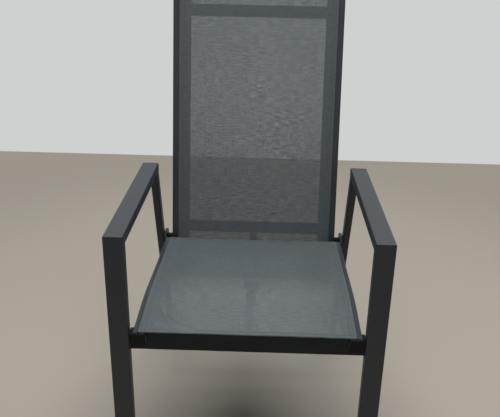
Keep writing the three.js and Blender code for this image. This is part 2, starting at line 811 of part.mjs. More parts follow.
function addBackSling(back) {
  const slotAt = backOutside - backSlotInset;
  const depth = backRailDepth - backSection.channel;
  const { outline, holes } = slingSection(slotAt, backInside, depth, backSag);
  const low = -backClothTail;
  const high = backRise - railCapThickness - fit - backClothTopInset;
  const facing = ({ x, y }) => new THREE.Vector2(x, backFront - y);
  const sling = extrude(outline.map(facing), low, high, holes.map((hole) => hole.map(facing)));
  piece(back, 'back_sling', sling, mesh());
  sides.forEach(({ name, sign }) => {
    const outlineOfKeder = circle(sign * slotAt, backFront + depth, kederRadius, roundSteps);
    piece(back, `${name}_back_keder`, extrude(outlineOfKeder, low, high), darkPlastic());
  });
}

// The gas spring's front bracket is a channel on the rear of the front crossbar
function addSpringBracket(parent) {
  const half = bracketWidth / 2;
  const web = frontBarSetback + frontBarSize + fit;
  const top = springHeight + bracketRise;
  const low = frontBarTop - frontBarSize + bracketDrop;
  const side = [
    new THREE.Vector2(web, low),
    ...arc(springSetback, springHeight, bracketLobe, -quarter, quarter, roundSteps),
    new THREE.Vector2(web, top),
  ];
  const hole = circle(springSetback, springHeight, springPinRadius + fit, roundSteps);
  const plates = [[-half, bracketPlate - half], [half - bracketPlate, half]].map(([x0, x1]) => (
    alongX(extrude(side, x0, x1, [hole]))
  ));
  const inside = half - bracketPlate / 2;
  const back = alongX(extrude(rectangle(web, low, web + bracketPlate, top), -inside, inside));
  piece(parent, 'spring_bracket', join(back, ...plates), coat());
  piece(parent, 'spring_bracket_pin', crossPin(bracketWidth), zinc(), [0, springSetback, springHeight]);
}

// The gas spring's frame has its origin on the front pin and y along its axis, towards the fork
function addCylinder(spring) {
  const bore = rodRadius + runningClearance;
  const boreEnd = cylinderEnd - rodInsertion - rodStroke - overrun;
  const body = turned([
    [0, cylinderNose],
    [cylinderRadius - cylinderChamfer, cylinderNose],
    [cylinderRadius, cylinderNose + cylinderChamfer],
    [cylinderRadius, cylinderEnd - cylinderChamfer],
    [cylinderRadius - cylinderChamfer, cylinderEnd],
    [bore, cylinderEnd],
    [bore, boreEnd],
    [0, boreEnd],
  ]);
  const half = eyeWidth / 2;
  const rear = cylinderNose + cylinderChamfer;
  const outline = [
    ...arc(0, 0, eyeRadius, quarter, 3 * quarter, roundSteps),
    new THREE.Vector2(rear, -eyeRadius),
    new THREE.Vector2(rear, eyeRadius),
  ];
  const hole = circle(0, 0, springPinRadius + runningClearance, roundSteps);
  const eye = alongX(extrude(outline, -half, half, [hole]));
  const eyeInside = turned([[0, -eyeRadius], [eyeRadius, -eyeRadius], [eyeRadius, rear], [0, rear]]);
  piece(spring, 'gas_cylinder', join(body, overlap(eye, eyeInside)), blackEnamel());
}

function addRod(spring) {
  const start = cylinderEnd - rodInsertion;
  const end = headFront + rodSeat;
  piece(spring, 'gas_rod', turned([[0, start], [rodRadius, start], [rodRadius, end], [0, end]]), chrome());
}

// A protective sleeve on the head slides over the cylinder and keeps dirt off the rod
function addSleeve(spring) {
  const inside = sleeveRadius - sleeveWall;
  const open = cylinderEnd - sleeveLap;
  const shut = headFront - fit;
  const hole = rodRadius + fit;
  piece(spring, 'rod_sleeve', turned([
    [inside, open],
    [sleeveRadius, open],
    [sleeveRadius, shut],
    [hole, shut],
    [hole, shut - sleeveEnd],
    [inside, shut - sleeveEnd],
    [inside, open],
  ]), blackEnamel());
}

// The release head holds the rod's end and the lever that presses its valve. Its pin hole is a slot.
function addHead(spring) {
  const half = headWidth / 2;
  const body = alongX(extrude(
    roundedRectangle(headFront, -headDrop, springSpan + headTail, headRise, headCorner),
    -half,
    half,
  ));
  const slot = alongX(extrude([
    ...arc(springSpan, 0, headSlotRadius, 0, 2 * quarter, roundSteps),
    ...arc(springSpan, -headSlotDrop, headSlotRadius, 2 * quarter, 4 * quarter, roundSteps),
  ], -half - overrun, half + overrun));
  const rodHole = rodRadius + fit;
  const seatEnd = headFront + rodSeat + fit;
  const bore = turned([[0, headFront - overrun], [rodHole, headFront - overrun], [rodHole, seatEnd], [0, seatEnd]]);
  const halfLever = leverThickness / 2 + fit;
  const leverY = springSpan - leverPivotAhead;
  const leverSlot = alongX(extrude(
    rectangle(leverY - leverSlotAhead / 2, -headDrop - overrun, leverY + leverSlotAhead / 2, -leverSlotRise),
    -halfLever,
    halfLever,
  ));
  const axle = rodAlongX(leverPivotRadius + fit, -half - overrun, half + overrun, leverY, -leverPivotDrop);
  piece(spring, 'release_head', cut(body, slot, bore, leverSlot, axle), blackEnamel());
}

// The lever turns on trunnions in the head and hangs below it, where the release cable would pull it
function addReleaseLever(spring) {
  const half = leverThickness / 2;
  const breadth = leverBreadth / 2;
  const arm = alongX(extrude([
    ...arc(0, 0, breadth, 0, 2 * quarter, roundSteps),
    ...arc(0, -leverReach, breadth / 2, 2 * quarter, 4 * quarter, roundSteps),
  ], -half, half));
  const axleEnd = headWidth / 2;
  const axle = rodAlongX(leverPivotRadius, -axleEnd, axleEnd, 0, 0);
  const at = [0, springSpan - leverPivotAhead, -leverPivotDrop];
  piece(spring, 'release_lever', join(arm, axle), zinc(), at);
}

const paddleAcross = halfWidth - armWidth / 2;

// A small bracket under the right armrest carries the paddle on two ears
function addPaddleBracket(parent) {
  const half = paddleEarWidth / 2;
  const top = -fit;
  const low = top - paddlePlateThickness;
  const front = paddleEarLobe - paddlePlateLength;
  const ear = [
    ...arc(0, -paddlePivotDrop, paddleEarLobe, -2 * quarter, 0, roundSteps),
    new THREE.Vector2(paddleEarLobe, top),
    new THREE.Vector2(-paddleEarLobe, top),
  ];
  const hole = circle(0, -paddlePivotDrop, paddleTrunnionRadius + runningClearance, roundSteps);
  const thickness = paddleEarThickness;
  const ears = [[-half, thickness - half], [half - thickness, half]].map(([x0, x1]) => (
    alongX(extrude(ear, x0, x1, [hole]))
  ));
  const plate = alongX(extrude(rectangle(front, low, paddleEarLobe, top), -half, half));
  piece(parent, 'paddle_bracket', join(plate, ...ears), coat(), [paddleAcross, paddleSetback, armUnderside]);
}

function addPaddle(parent) {
  const half = paddleEarWidth / 2 - paddleEarThickness - runningClearance;
  const halfThickness = paddleThickness / 2;
  const tip = -paddleLength + paddleTipRadius;
  const inner = paddleTipRadius - paddleThickness;
  const arm = [
    ...arc(0, 0, paddleHub, -quarter, quarter, roundSteps),
    new THREE.Vector2(-paddleHub, halfThickness),
    ...arc(tip, halfThickness - paddleTipRadius, paddleTipRadius, quarter, 2 * quarter, cornerSteps),
    ...arc(tip, halfThickness - paddleTipRadius, inner, 2 * quarter, quarter, cornerSteps),
    new THREE.Vector2(-paddleHub, -halfThickness),
  ];
  const blade = alongX(extrude(arm, -half, half));
  const axleEnd = paddleEarWidth / 2;
  const paddle = join(blade, rodAlongX(paddleTrunnionRadius, -axleEnd, axleEnd, 0, 0));
  paddle.rotateX(THREE.MathUtils.degToRad(paddleRest));
  const at = [paddleAcross, paddleSetback, armUnderside - paddlePivotDrop];
  piece(parent, 'release_paddle', paddle, darkPlastic(), at);
}

const chair = new THREE.Group();

sides.forEach((side) => {
  addFrontLeg(chair, side);
  addArmrest(chair, side);
  addArmPlug(chair, side);
  addRearLeg(chair, side);
  addFrontFoot(chair, side);
  addRearFoot(chair, side);
  addHingePlate(chair, side);
  addHingeBolt(chair, side);
  addHingeBush(chair, side);
  addSeatBolt(chair, side);
});
addFrontBar(chair);
addRearBar(chair);
addSpringBracket(chair);
addPaddleBracket(chair);
addPaddle(chair);

const seat = new THREE.Group();
seat.position.set(0, 0, seatBottom);
seat.rotation.x = -tilt;
sides.forEach((side) => {
  addSeatRail(seat, side);
  addSeatRailCaps(seat, side);
  addSeatRearBolt(seat, side);
  addSeatSpacer(seat, side);
});
addSeatBars(seat);
addSeatSling(seat);
chair.add(seat);

const back = new THREE.Group();
back.position.set(0, pivotSetback, pivotHeight);
back.rotation.x = -recline;
sides.forEach((side) => {
  addBackRail(back, side);
  addBackRailCaps(back, side);
});
addBackBars(back);
addLeverPost(back);
addFork(back);
piece(back, 'lever_fork_pin', crossPin(forkWidth), zinc(), [0, 0, -forkPinTail]);
addBackSling(back);
chair.add(back);

const spring = new THREE.Group();
spring.position.set(0, springSetback, springHeight);
spring.rotation.x = -springDip;
addCylinder(spring);
addRod(spring);
addSleeve(spring);
addHead(spring);
addReleaseLever(spring);
chair.add(spring);

// The origin is on the floor, under the middle of the chair
chair.updateMatrixWorld(true);
const bounds = new THREE.Box3().setFromObject(chair, true);
const centre = bounds.getCenter(new THREE.Vector3());
chair.position.set(-centre.x, -centre.y, -bounds.min.z);

const group = new THREE.Group();
group.add(chair);

export default group;
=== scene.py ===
"""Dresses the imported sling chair.

It adds powder coat, woven slings with their seams, plastics, steels, weld beads, floor, lamps and
camera. Lengths are in metres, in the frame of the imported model: +Z up, and the sitter faces -Y.
"""
import json
import math

import bpy
from bpy.props import FloatProperty, FloatVectorProperty, PointerProperty
from mathutils import Matrix, Vector
from mathutils.geometry import convex_hull_2d


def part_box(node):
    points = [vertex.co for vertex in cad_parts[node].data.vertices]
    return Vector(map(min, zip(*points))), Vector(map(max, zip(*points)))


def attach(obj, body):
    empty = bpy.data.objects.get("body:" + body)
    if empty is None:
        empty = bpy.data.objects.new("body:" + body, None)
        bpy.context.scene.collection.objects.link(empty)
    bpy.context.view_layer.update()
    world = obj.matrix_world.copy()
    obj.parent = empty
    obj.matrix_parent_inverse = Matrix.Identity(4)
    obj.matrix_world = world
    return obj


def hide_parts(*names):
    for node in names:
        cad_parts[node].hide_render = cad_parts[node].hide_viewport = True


bl_info = {
    "name": "Sling chair dresser",
    "version": (1, 0, 0),
    "blender": (4, 5, 0),
    "location": "3D View > Sidebar > Chair",
    "description": "Gives the reclining sling chair its cloth, finishes, floor, lamps and camera",
    "category": "Object",
}

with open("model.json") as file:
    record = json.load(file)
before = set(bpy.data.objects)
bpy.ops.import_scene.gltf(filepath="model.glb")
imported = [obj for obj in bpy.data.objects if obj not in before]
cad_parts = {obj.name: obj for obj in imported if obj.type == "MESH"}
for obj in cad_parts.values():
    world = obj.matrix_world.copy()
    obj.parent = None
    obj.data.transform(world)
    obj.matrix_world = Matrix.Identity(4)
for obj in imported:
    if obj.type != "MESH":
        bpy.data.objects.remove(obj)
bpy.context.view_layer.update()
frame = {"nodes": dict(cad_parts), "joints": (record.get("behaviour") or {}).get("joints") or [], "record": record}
MM = 0.001

# Grooved rails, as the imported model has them
GROOVE_DEPTH = 5.31 * MM
LOOP_RADIUS = 3.2 * MM
SLOT_HALF = 0.6 * MM
RING_GAP = 2.0 * MM

# Cloth: the upper layer runs over both hems, the side hem next under it and the end hem lowest
CLOTH_THICKNESS = 0.7 * MM
LAYER_GAP = 0.15 * MM
CLOTH_LIFT = 0.35 * MM
TOP_LAYER = CLOTH_LIFT + 1.5 * CLOTH_THICKNESS + LAYER_GAP
SIDE_HEM_LAYER = CLOTH_LIFT + 0.5 * CLOTH_THICKNESS
END_HEM_LAYER = CLOTH_LIFT - 0.5 * CLOTH_THICKNESS - LAYER_GAP
EDGE_RADIUS = 1.0 * MM
EDGE_STEPS = 3
EDGE_BULGE = 0.3 * EDGE_RADIUS
FOLD_BULGE = 0.6 * MM
LOOP_POINTS = 12
TOP_COLUMNS = 96
HEM_COLUMNS = 6
END_HEM_ROWS = 3
ROW_LENGTH = 5.0 * MM

# Where an end hem climbs over the side hem, measured from the slot
CLIMB_START = 12 * MM
CLIMB_LENGTH = 4 * MM

# Weave. A yarn's half width is a share of the pitch, and most of a noise lies between its low and
# its high.
YARN_HALF_SHARE = 0.322
NOISE_LOW, NOISE_HIGH = 0.3, 0.7

# Creases round the seat's front left corner, as radius, rise and width. Their centre is measured
# from that corner.
CREASES = (98 * MM, 3.6 * MM, 5.0 * MM), (66 * MM, 2.0 * MM, 7.0 * MM)
CREASE_CENTRE = 131 * MM, 112 * MM

# Seams, each in from the slot or from the cloth's end
SIDE_SEAMS = 6 * MM, 13 * MM
END_SEAM = 9 * MM
SEAM_MARGIN = 4 * MM
STITCH_LENGTH = 2.4 * MM
STITCH_PITCH = 3.4 * MM
STITCH_HALF_WIDTH = 0.32 * MM
STITCH_LIFT = 0.1 * MM
STITCH_SIDES = 6

# Turned pieces
TURN_SIDES = 48
SMOOTH_ANGLE = math.radians(35)
SMALL_SMOOTH_ANGLE = math.radians(60)
MERGE_DISTANCE = 0.001 * MM
THREAD_CHAMFER = 0.5 * MM
CYLINDER_RADIUS = 11 * MM
CYLINDER_NOSE = 12 * MM
NECK_RADIUS = 6.8 * MM
NECK_INSETS = 0.5 * MM, 5 * MM
EYE_RADIUS = 10 * MM
EYE_HALF_WIDTH = 7 * MM
EYE_EDGE = 0.7 * MM
PIN_BORE = 4.3 * MM
ROD_BORE = 5.3 * MM
ROD_BORE_DEPTH = 142 * MM
SLEEVE_RADIUS = 13.5 * MM
SLEEVE_WALL = 1.8 * MM
SLEEVE_END = 3 * MM
SLEEVE_EDGE = 0.5 * MM
BUSH_RADIUS = 7 * MM
BUSH_EDGE = 0.4 * MM
PIN_RADIUS = 4 * MM
PIN_HEAD = 6 * MM
PIN_HEAD_HEIGHT = 2 * MM

# Bolts: the axis that they lie along, then the head's radius and height, the shank's radius and
# the socket's radius
BOLTS = {
    "hinge_bolt": (0, 6.5 * MM, 4.5 * MM, 4.0 * MM, 2.9 * MM),
    "seat_rear_bolt": (0, 5.5 * MM, 3.6 * MM, 3.0 * MM, 2.3 * MM),
    "seat_front_bolt": (2, 5.5 * MM, 3.6 * MM, 3.0 * MM, 2.3 * MM),
}

# Welds: each tube's axis and its welded ends. A clear vector points from the end's middle to the
# side without a weld, and is as long as the weld's reach to that side.
END_DEPTH = 0.5 * MM
BEAD_PITCH = 1.5 * MM
BEAD_RADIUS = 2.0 * MM
BEAD_FLATNESS = 0.6
BEAD_OFFSET = 0.4 * MM
FRONT_BAR_CLEAR = Vector((0, 0, 4 * MM))
LEG_CLEAR = Vector((6 * MM, 0, 0))
BOTH_ENDS = -1, 1
WELDS = {
    "frame": (
        ("front_crossbar", 0, BOTH_ENDS, FRONT_BAR_CLEAR),
        ("rear_crossbar", 0, BOTH_ENDS, None),
        ("seat_front_crossbar", 0, BOTH_ENDS, FRONT_BAR_CLEAR),
        ("seat_rear_crossbar", 0, BOTH_ENDS, None),
        ("left_rear_leg", 2, (1,), LEG_CLEAR),
        ("right_rear_leg", 2, (1,), -LEG_CLEAR),
    ),
    "back": (
        ("back_upper_crossbar", 0, BOTH_ENDS, None),
        ("back_lower_crossbar", 0, BOTH_ENDS, None),
    ),
}

# The bars under the seat and the hinge plates take a duller coat whose darker colour is painted shade.
PAINTED_SHADE_PIECES = ("front_crossbar", "rear_crossbar", "seat_front_crossbar", "seat_rear_crossbar",
               "left_hinge_plate", "right_hinge_plate")

# Stage: the lamps' places, turns from straight down, sizes, watts and colours. The lamps light the
# floor as far as LIT_REACH, and beyond GLOW_REACH its own glow is all that is seen.
LAMPS = {
    "ceiling_lamp": ((0.1, 0.1, 2.9), 0, (3.4, 3.2), 94, "#FFFFFF"),
    "front_lamp": ((0.2, -2.6, 2.3), -50, (1.4, 1.0), 32, "#CFE2FF"),
}
LIT_REACH = 1.2
GLOW_REACH = 3.2
GLOW_STRENGTH = 0.7
FLOOR_HALF = 9.0
WORLD_STRENGTH = 0.05

# Camera: the picture's size, and the pixel that its lens points at
PICTURE_WIDTH = 500
PICTURE_HEIGHT = 417
CENTRE_COLUMN = 254.06
CENTRE_ROW = 207.66
SENSOR_WIDTH = 36

# Nodes' places in the node editor
FIRST_COLUMN = -2800
COLUMN_WIDTH = 200
ROW_HEIGHT = 220


# Settings

def linear(hex_colour):
    """Turns an sRGB hex colour to the linear values that Blender's sockets take."""
    values = [int(hex_colour[i:i + 2], 16) / 255 for i in (1, 3, 5)]
    return tuple(v / 12.92 if v <= 0.04045 else ((v + 0.055) / 1.055) ** 2.4 for v in values)


def length_setting(name, description, default):
    return FloatProperty(name=name, description=description, default=default,
                         unit="LENGTH", subtype="DISTANCE")


def angle_setting(name, description, degrees):
    return FloatProperty(name=name, description=description, default=math.radians(degrees),
                         unit="ROTATION", subtype="ANGLE")


def colour_setting(name, description, hex_colour):
    return FloatVectorProperty(name=name, description=description, default=linear(hex_colour),
                               size=3, min=0, max=1, subtype="COLOR")


class SlingSettings(bpy.types.PropertyGroup):
    """Sizes and colour of the two slings."""
    hem_width: length_setting("Side hem", "Width of the doubled cloth beside each rail", 30 * MM)
    end_hem_width: length_setting(
        "End hem", "Width of the cloth turned under at the free ends", 14 * MM)
    first_pull: length_setting(
        "First end's pull", "How far the seat's front or the back's foot is drawn in at its middle",
        4 * MM)
    last_pull: length_setting(
        "Last end's pull", "How far the seat's rear or the back's top is drawn in at its middle",
        1.5 * MM)
    sag: length_setting("Sag", "How far the cloth dips halfway between the rails", 2 * MM)
    yarn_pitch: length_setting("Yarn pitch", "Distance from one yarn to the next", 1.25 * MM)
    colour: colour_setting("Yarn colour", "Colour of the coated yarn", "#5C6569")


class FinishSettings(bpy.types.PropertyGroup):
    """Colours of the hard pieces."""
    coat: colour_setting("Powder coat", "Colour of the powder coat", "#20262D")
    # This coat's darker colour is painted shade on the bars under the seat and the hinge plates.
    painted_shade_coat: colour_setting(
        "Painted shade coat", "Colour of the duller coat on the bars under the seat and the hinge plates",
        "#10161B")
    plastic: colour_setting("Plastic", "Colour of the moulded caps, plugs and bushes", "#090A0B")
    enamel: colour_setting("Enamel", "Colour of the gas spring's enamel", "#17181A")


class StageSettings(bpy.types.PropertyGroup):
    """Camera, floor and surroundings."""
    camera_place: FloatVectorProperty(
        name="Camera", description="Where the camera stands", size=3,
        default=(24.7 * MM, -1473.0 * MM, 1190.7 * MM), unit="LENGTH", subtype="TRANSLATION")
    camera_pan: angle_setting(
        "Pan", "How far the camera is turned to its right from straight ahead", -0.842)
    camera_tilt: angle_setting("Tilt", "How far the camera looks down from level", 22.506)
    camera_roll: angle_setting("Roll", "How far the camera is turned about its own axis", 1.283)
    lens: FloatProperty(
        name="Lens", description="Focal length on a sensor 36 mm wide", default=48.0, unit="CAMERA")
    floor: colour_setting("Floor", "Colour of the floor", "#BDB5A8")
    backdrop: colour_setting("Backdrop", "Colour seen beyond the floor", "#CED1D0")
    floor_end: length_setting("Floor's end", "How far the floor reaches behind the chair", 2.14)


# Nodes

def output_of(source):
    """A source's output, where a node stands for its first one."""
    return source.outputs[0] if isinstance(source, bpy.types.Node) else source


def feed(node, links):
    """Links sources to a node's input sockets."""
    for socket, source in links.items():
        node.id_data.links.new(output_of(source), node.inputs[socket])


def add_node(owner, kind, links=None, **settings):
    """Adds a node to a material or a world, in the column after its sources.

    Links give its input sockets their sources. Settings name its properties or its input sockets,
    where i0 stands for the first socket, i1 for the second and so on.
    """
    links = links or {}
    last_column = max((output_of(source).node.location.x for source in links.values()),
                      default=FIRST_COLUMN)
    column = last_column + COLUMN_WIDTH
    row = sum(other.location.x == column for other in owner.node_tree.nodes)
    node = owner.node_tree.nodes.new(kind)
    node.location = column, -ROW_HEIGHT * row
    for name, value in settings.items():
        if hasattr(node, name):
            setattr(node, name, value)
            continue
        numbered = name[0] == "i" and name[1:].isdigit()
        node.inputs[int(name[1:]) if numbered else name.replace("_", " ")].default_value = value
    feed(node, links)
    return node


# Materials

def new_material(name, **constants):
    """Makes a node material with constants on its shader's sockets, and returns both."""
    material = bpy.data.materials.new(name)
    material.use_nodes = True
    shader = material.node_tree.nodes["Principled BSDF"]
    for socket, value in constants.items():
        shader.inputs[socket.replace("_", " ")].default_value = value
    return material, shader


def grained_surface(material, shader, colour, grain, relief, shade, roughness, drift=None):
    """Lets a grain give a paint or plastic its relief (strength and depth) and its roughness.

    The range of its shade follows the drift, or else the grain.
    """
    bump = add_node(material, "ShaderNodeBump", {"Height": grain},
                    Strength=relief[0], Distance=relief[1])
    polish = add_node(material, "ShaderNodeMapRange", {"Value": grain},
                      To_Min=roughness[0], To_Max=roughness[1])
    level = add_node(material, "ShaderNodeMapRange", {"Value": grain if drift is None else drift},
                     To_Min=shade[0], To_Max=shade[1])
    tint = add_node(material, "ShaderNodeVectorMath", {1: level}, operation="MULTIPLY", i0=colour)
    feed(shader, {"Normal": bump, "Roughness": polish, "Base Color": tint})
    return material


def powder_coat(name, colour, gloss_level):
    """Polyester powder coat, sprayed and baked: satin, with an even orange peel."""
    material, shader = new_material(name, Specular_IOR_Level=gloss_level)
    place = add_node(material, "ShaderNodeTexCoord").outputs["Object"]
    # The baked powder's grain is 0.3 mm. It is drawn at 0.9 mm, so that it shows.
    grain = add_node(material, "ShaderNodeTexNoise", {"Vector": place},
                     Scale=1 / (0.9 * MM), Roughness=0.6)
    drift = add_node(material, "ShaderNodeTexNoise", {"Vector": place},
                     Scale=1 / (120 * MM), Detail=3.0)
    return grained_surface(material, shader, colour, grain, relief=(0.25, 0.06 * MM),
                           shade=(0.93, 1.07), roughness=(0.34, 0.46), drift=drift)


def moulded_plastic(colour):
    """Black polypropylene, moulded with a spark-eroded grain: matt, with a soft broad shine."""
    material, shader = new_material("moulded_polypropylene", IOR=1.49, Specular_IOR_Level=0.2)
    place = add_node(material, "ShaderNodeTexCoord").outputs["Object"]
    grain = add_node(material, "ShaderNodeTexNoise", {"Vector": place}, Scale=1 / (0.7 * MM))
    return grained_surface(material, shader, colour, grain, relief=(0.3, 0.08 * MM),
                           shade=(0.85, 1.15), roughness=(0.5, 0.66))


def black_enamel(colour):
    """Baked black enamel on steel: smooth and fairly glossy, with a faint ripple."""
    material, shader = new_material("baked_enamel")
    place = add_node(material, "ShaderNodeTexCoord").outputs["Object"]
    ripple = add_node(material, "ShaderNodeTexNoise", {"Vector": place}, Scale=1 / (6 * MM))
    return grained_surface(material, shader, colour, ripple, relief=(0.2, 0.05 * MM),
                           shade=(0.9, 1.1), roughness=(0.25, 0.35))


def clouded_metal(name, size, detail, dark, light, roughness):
    """A metal whose colour and roughness vary in clouds of a given size and detail."""
    material, shader = new_material(name, Metallic=1.0)
    place = add_node(material, "ShaderNodeTexCoord").outputs["Object"]
    cloud = add_node(material, "ShaderNodeTexNoise", {"Vector": place},
                     Scale=1 / size, Detail=detail)
    tint = add_node(material, "ShaderNodeMix", {0: cloud}, data_type="RGBA",
                    i6=(*linear(dark), 1), i7=(*linear(light), 1))
    polish = add_node(material, "ShaderNodeMapRange", {"Value": cloud},
                      To_Min=roughness[0], To_Max=roughness[1])
    feed(shader, {"Base Color": tint.outputs[2], "Roughness": polish})
    return material


def zinc_plate():
    """Bright zinc plate on steel, barrel plated: a cool grey metal with a cloudy, uneven gloss."""
    return clouded_metal("bright_zinc_plate", 4 * MM, 4.0, "#A9ACAD", "#C6C9CA", (0.24, 0.42))


def hard_chrome():
    """Hard chrome, ground and polished: a bright mirror with faint grinding marks."""
    return clouded_metal("hard_chrome", 0.8 * MM, 2.0, "#C9CBCD", "#D8DADB", (0.06, 0.14))


def yarn_set(material, flat, cell, streak, swell, tone):
    """One set of parallel yarns: where they lie, their round tops, their wave and their shade.

    The cell counts the yarns across. They swell and thin in streaks, whose size is given along X
    and Y: the swell is a share of the pitch, and the tone a share of the shade.
    """
    stretched = add_node(material, "ShaderNodeVectorMath", {0: flat}, operation="MULTIPLY",
                         i1=(1 / streak[0], 1 / streak[1], 1))
    slub = add_node(material, "ShaderNodeTexNoise", {"Vector": stretched}, Scale=1.0, Detail=0.0)
    half = add_node(material, "ShaderNodeMapRange", {"Value": slub},
                    From_Min=NOISE_LOW, From_Max=NOISE_HIGH,
                    To_Min=YARN_HALF_SHARE - swell, To_Max=YARN_HALF_SHARE + swell)
    shade = add_node(material, "ShaderNodeMapRange", {"Value": slub},
                     From_Min=NOISE_LOW, From_Max=NOISE_HIGH, To_Min=1 + tone, To_Max=1 - tone)
    part = add_node(material, "ShaderNodeMath", {0: cell}, operation="FRACT")
    centred = add_node(material, "ShaderNodeMath", {0: part}, operation="SUBTRACT", i1=0.5)
    away = add_node(material, "ShaderNodeMath", {0: centred}, operation="ABSOLUTE")
    inside = add_node(material, "ShaderNodeMath", {0: away, 1: half}, operation="LESS_THAN")
    share = add_node(material, "ShaderNodeMath", {0: away, 1: half}, operation="DIVIDE")
    square = add_node(material, "ShaderNodeMath", {0: share, 1: share}, operation="MULTIPLY")
    round_top = add_node(material, "ShaderNodeMath", {0: square}, operation="SUBTRACT", i1=1.0)
    turn = add_node(material, "ShaderNodeMath", {0: cell}, operation="MULTIPLY", i1=math.pi)
    wave = add_node(material, "ShaderNodeMath", {0: turn}, operation="SINE")
    return inside, round_top, wave, shade


def woven_mesh(colour, pitch):
    """PVC-coated polyester yarn in an open plain weave: firm round yarns with square holes."""
    material, shader = new_material("coated_polyester_mesh", IOR=1.53, Roughness=0.5)
    flat = add_node(material, "ShaderNodeUVMap", uv_map="cloth")
    scaled = add_node(material, "ShaderNodeVectorMath", {0: flat}, operation="SCALE",
                      Scale=1 / pitch)
    cells = add_node(material, "ShaderNodeSeparateXYZ", {0: scaled})
    # A slub is one yarn wide, 1.25 mm. It is drawn two yarns wide, so that it shows, most of all
    # in the weft.
    warp, warp_top, warp_wave, warp_shade = yarn_set(
        material, flat, cells.outputs["X"], streak=(3 * MM, 40 * MM), swell=0.025, tone=0.05)
    weft, weft_top, weft_wave, weft_shade = yarn_set(
        material, flat, cells.outputs["Y"], streak=(22 * MM, 2.6 * MM), swell=0.05, tone=0.12)
    # Where the warp's wave and the weft's have the same sign, the warp goes over.
    over = add_node(material, "ShaderNodeMath", {0: warp_wave, 1: weft_wave}, operation="MULTIPLY")
    warp_height = add_node(material, "ShaderNodeMath", {0: over, 1: warp_top},
                           operation="SUBTRACT")
    weft_sum = add_node(material, "ShaderNodeMath", {0: over, 1: weft_top}, operation="ADD")
    weft_height = add_node(material, "ShaderNodeMath", {0: weft_sum}, operation="MULTIPLY", i1=-1.0)
    warp_shown = add_node(material, "ShaderNodeMath", {0: warp_height, 1: warp},
                          operation="MULTIPLY")
    weft_shown = add_node(material, "ShaderNodeMath", {0: weft_height, 1: weft},
                          operation="MULTIPLY")
    height = add_node(material, "ShaderNodeMath", {0: warp_shown, 1: weft_shown},
                      operation="MAXIMUM")
    solid = add_node(material, "ShaderNodeMath", {0: warp, 1: weft}, operation="MAXIMUM")
    bump = add_node(material, "ShaderNodeBump", {"Height": height},
                    Strength=0.5, Distance=0.12 * MM)
    # Painted shade: the yarns are drawn darker where they lie low, at their edges and where they pass under the
    # other set.
    painted_weave_shade = add_node(material, "ShaderNodeMapRange", {"Value": height},
                           From_Max=1.6, To_Min=0.82, To_Max=1.06)
    batch = add_node(material, "ShaderNodeTexNoise", {"Vector": flat},
                     Scale=1 / (60 * MM), Detail=3.0)
    batch_shade = add_node(material, "ShaderNodeMapRange", {"Value": batch},
                           To_Min=0.96, To_Max=1.04)
    # The shade is the painted weave shade times the yarns' own streaks and the batch's tone.
    shade = painted_weave_shade
    for other in (warp_shade, weft_shade, batch_shade):
        shade = add_node(material, "ShaderNodeMath", {0: shade, 1: other}, operation="MULTIPLY")
    tint = add_node(material, "ShaderNodeVectorMath", {1: shade}, operation="MULTIPLY", i0=colour)
    feed(shader, {"Normal": bump, "Alpha": solid, "Base Color": tint})
    return material


def seam_thread(colour):
    """Bonded polyester sewing thread: dull, twisted and a little darker than the cloth."""
    material, shader = new_material("bonded_polyester_thread", Roughness=0.75)
    place = add_node(material, "ShaderNodeTexCoord").outputs["Object"]
    twist = add_node(material, "ShaderNodeTexWave", {"Vector": place},
                     Scale=1 / (6 * MM), Distortion=2.0)
    shade = add_node(material, "ShaderNodeMapRange", {"Value": twist.outputs["Fac"]},
                     To_Min=0.45, To_Max=0.7)
    tint = add_node(material, "ShaderNodeVectorMath", {1: shade}, operation="MULTIPLY", i0=colour)
    feed(shader, {"Base Color": tint})
    return material


def seen_directly(owner):
    """One where the camera, a reflection or a clear piece sees a background, and else nought."""
    ray = add_node(owner, "ShaderNodeLightPath")
    seen = ray.outputs["Is Camera Ray"]
    for kind in ("Is Glossy Ray", "Is Transmission Ray"):
        seen = add_node(owner, "ShaderNodeMath", {0: seen, 1: ray.outputs[kind]},
                        operation="MAXIMUM")
    return seen


def mix_shaders(owner, share, first, second, output):
    """Links a mix of two shaders to a material's or a world's output."""
    both = add_node(owner, "ShaderNodeMixShader", {0: share, 1: first, 2: second})
    feed(owner.node_tree.nodes[output], {"Surface": both})


def floor_paint(colour):
    """Matt paint, lit by the lamps round the chair. Out of their reach it is seen as evenly lit."""
    material, shader = new_material("floor_paint", Base_Color=(*colour, 1), Roughness=0.6)
    place = add_node(material, "ShaderNodeTexCoord").outputs["Object"]
    away = add_node(material, "ShaderNodeVectorMath", {0: place}, operation="LENGTH")
    far = add_node(material, "ShaderNodeMapRange", {"Value": away.outputs["Value"]},
                   From_Min=LIT_REACH, From_Max=GLOW_REACH, interpolation_type="SMOOTHSTEP")
    share = add_node(material, "ShaderNodeMath", {0: far, 1: seen_directly(material)},
                     operation="MULTIPLY")
    glow = add_node(material, "ShaderNodeEmission", Color=(*colour, 1), Strength=GLOW_STRENGTH)
    mix_shaders(material, share, shader, glow, "Material Output")
    return material


def studio_world(colour):
    """A dim even world that casts little light, and is seen in the backdrop's colour."""
    world = bpy.data.worlds.new("studio")
    world.use_nodes = True
    dim = world.node_tree.nodes["Background"]
    dim.inputs["Color"].default_value = (*linear("#F4F6F8"), 1)
    dim.inputs["Strength"].default_value = WORLD_STRENGTH
    pale = add_node(world, "ShaderNodeBackground", Color=(*colour, 1), Strength=1.0)
    mix_shaders(world, seen_directly(world), dim, pale, "World Output")
    return world


# Modelling helpers

def deselect():
    """Leaves object mode with nothing selected."""
    if bpy.context.object is not None and bpy.context.object.mode != "OBJECT":
        bpy.ops.object.mode_set(mode="OBJECT")
    bpy.ops.object.select_all(action="DESELECT")


def select(*objects):
    """Selects objects, the first as the active one."""
    deselect()
    for item in objects:
        item.select_set(True)
    bpy.context.view_layer.objects.active = objects[0]


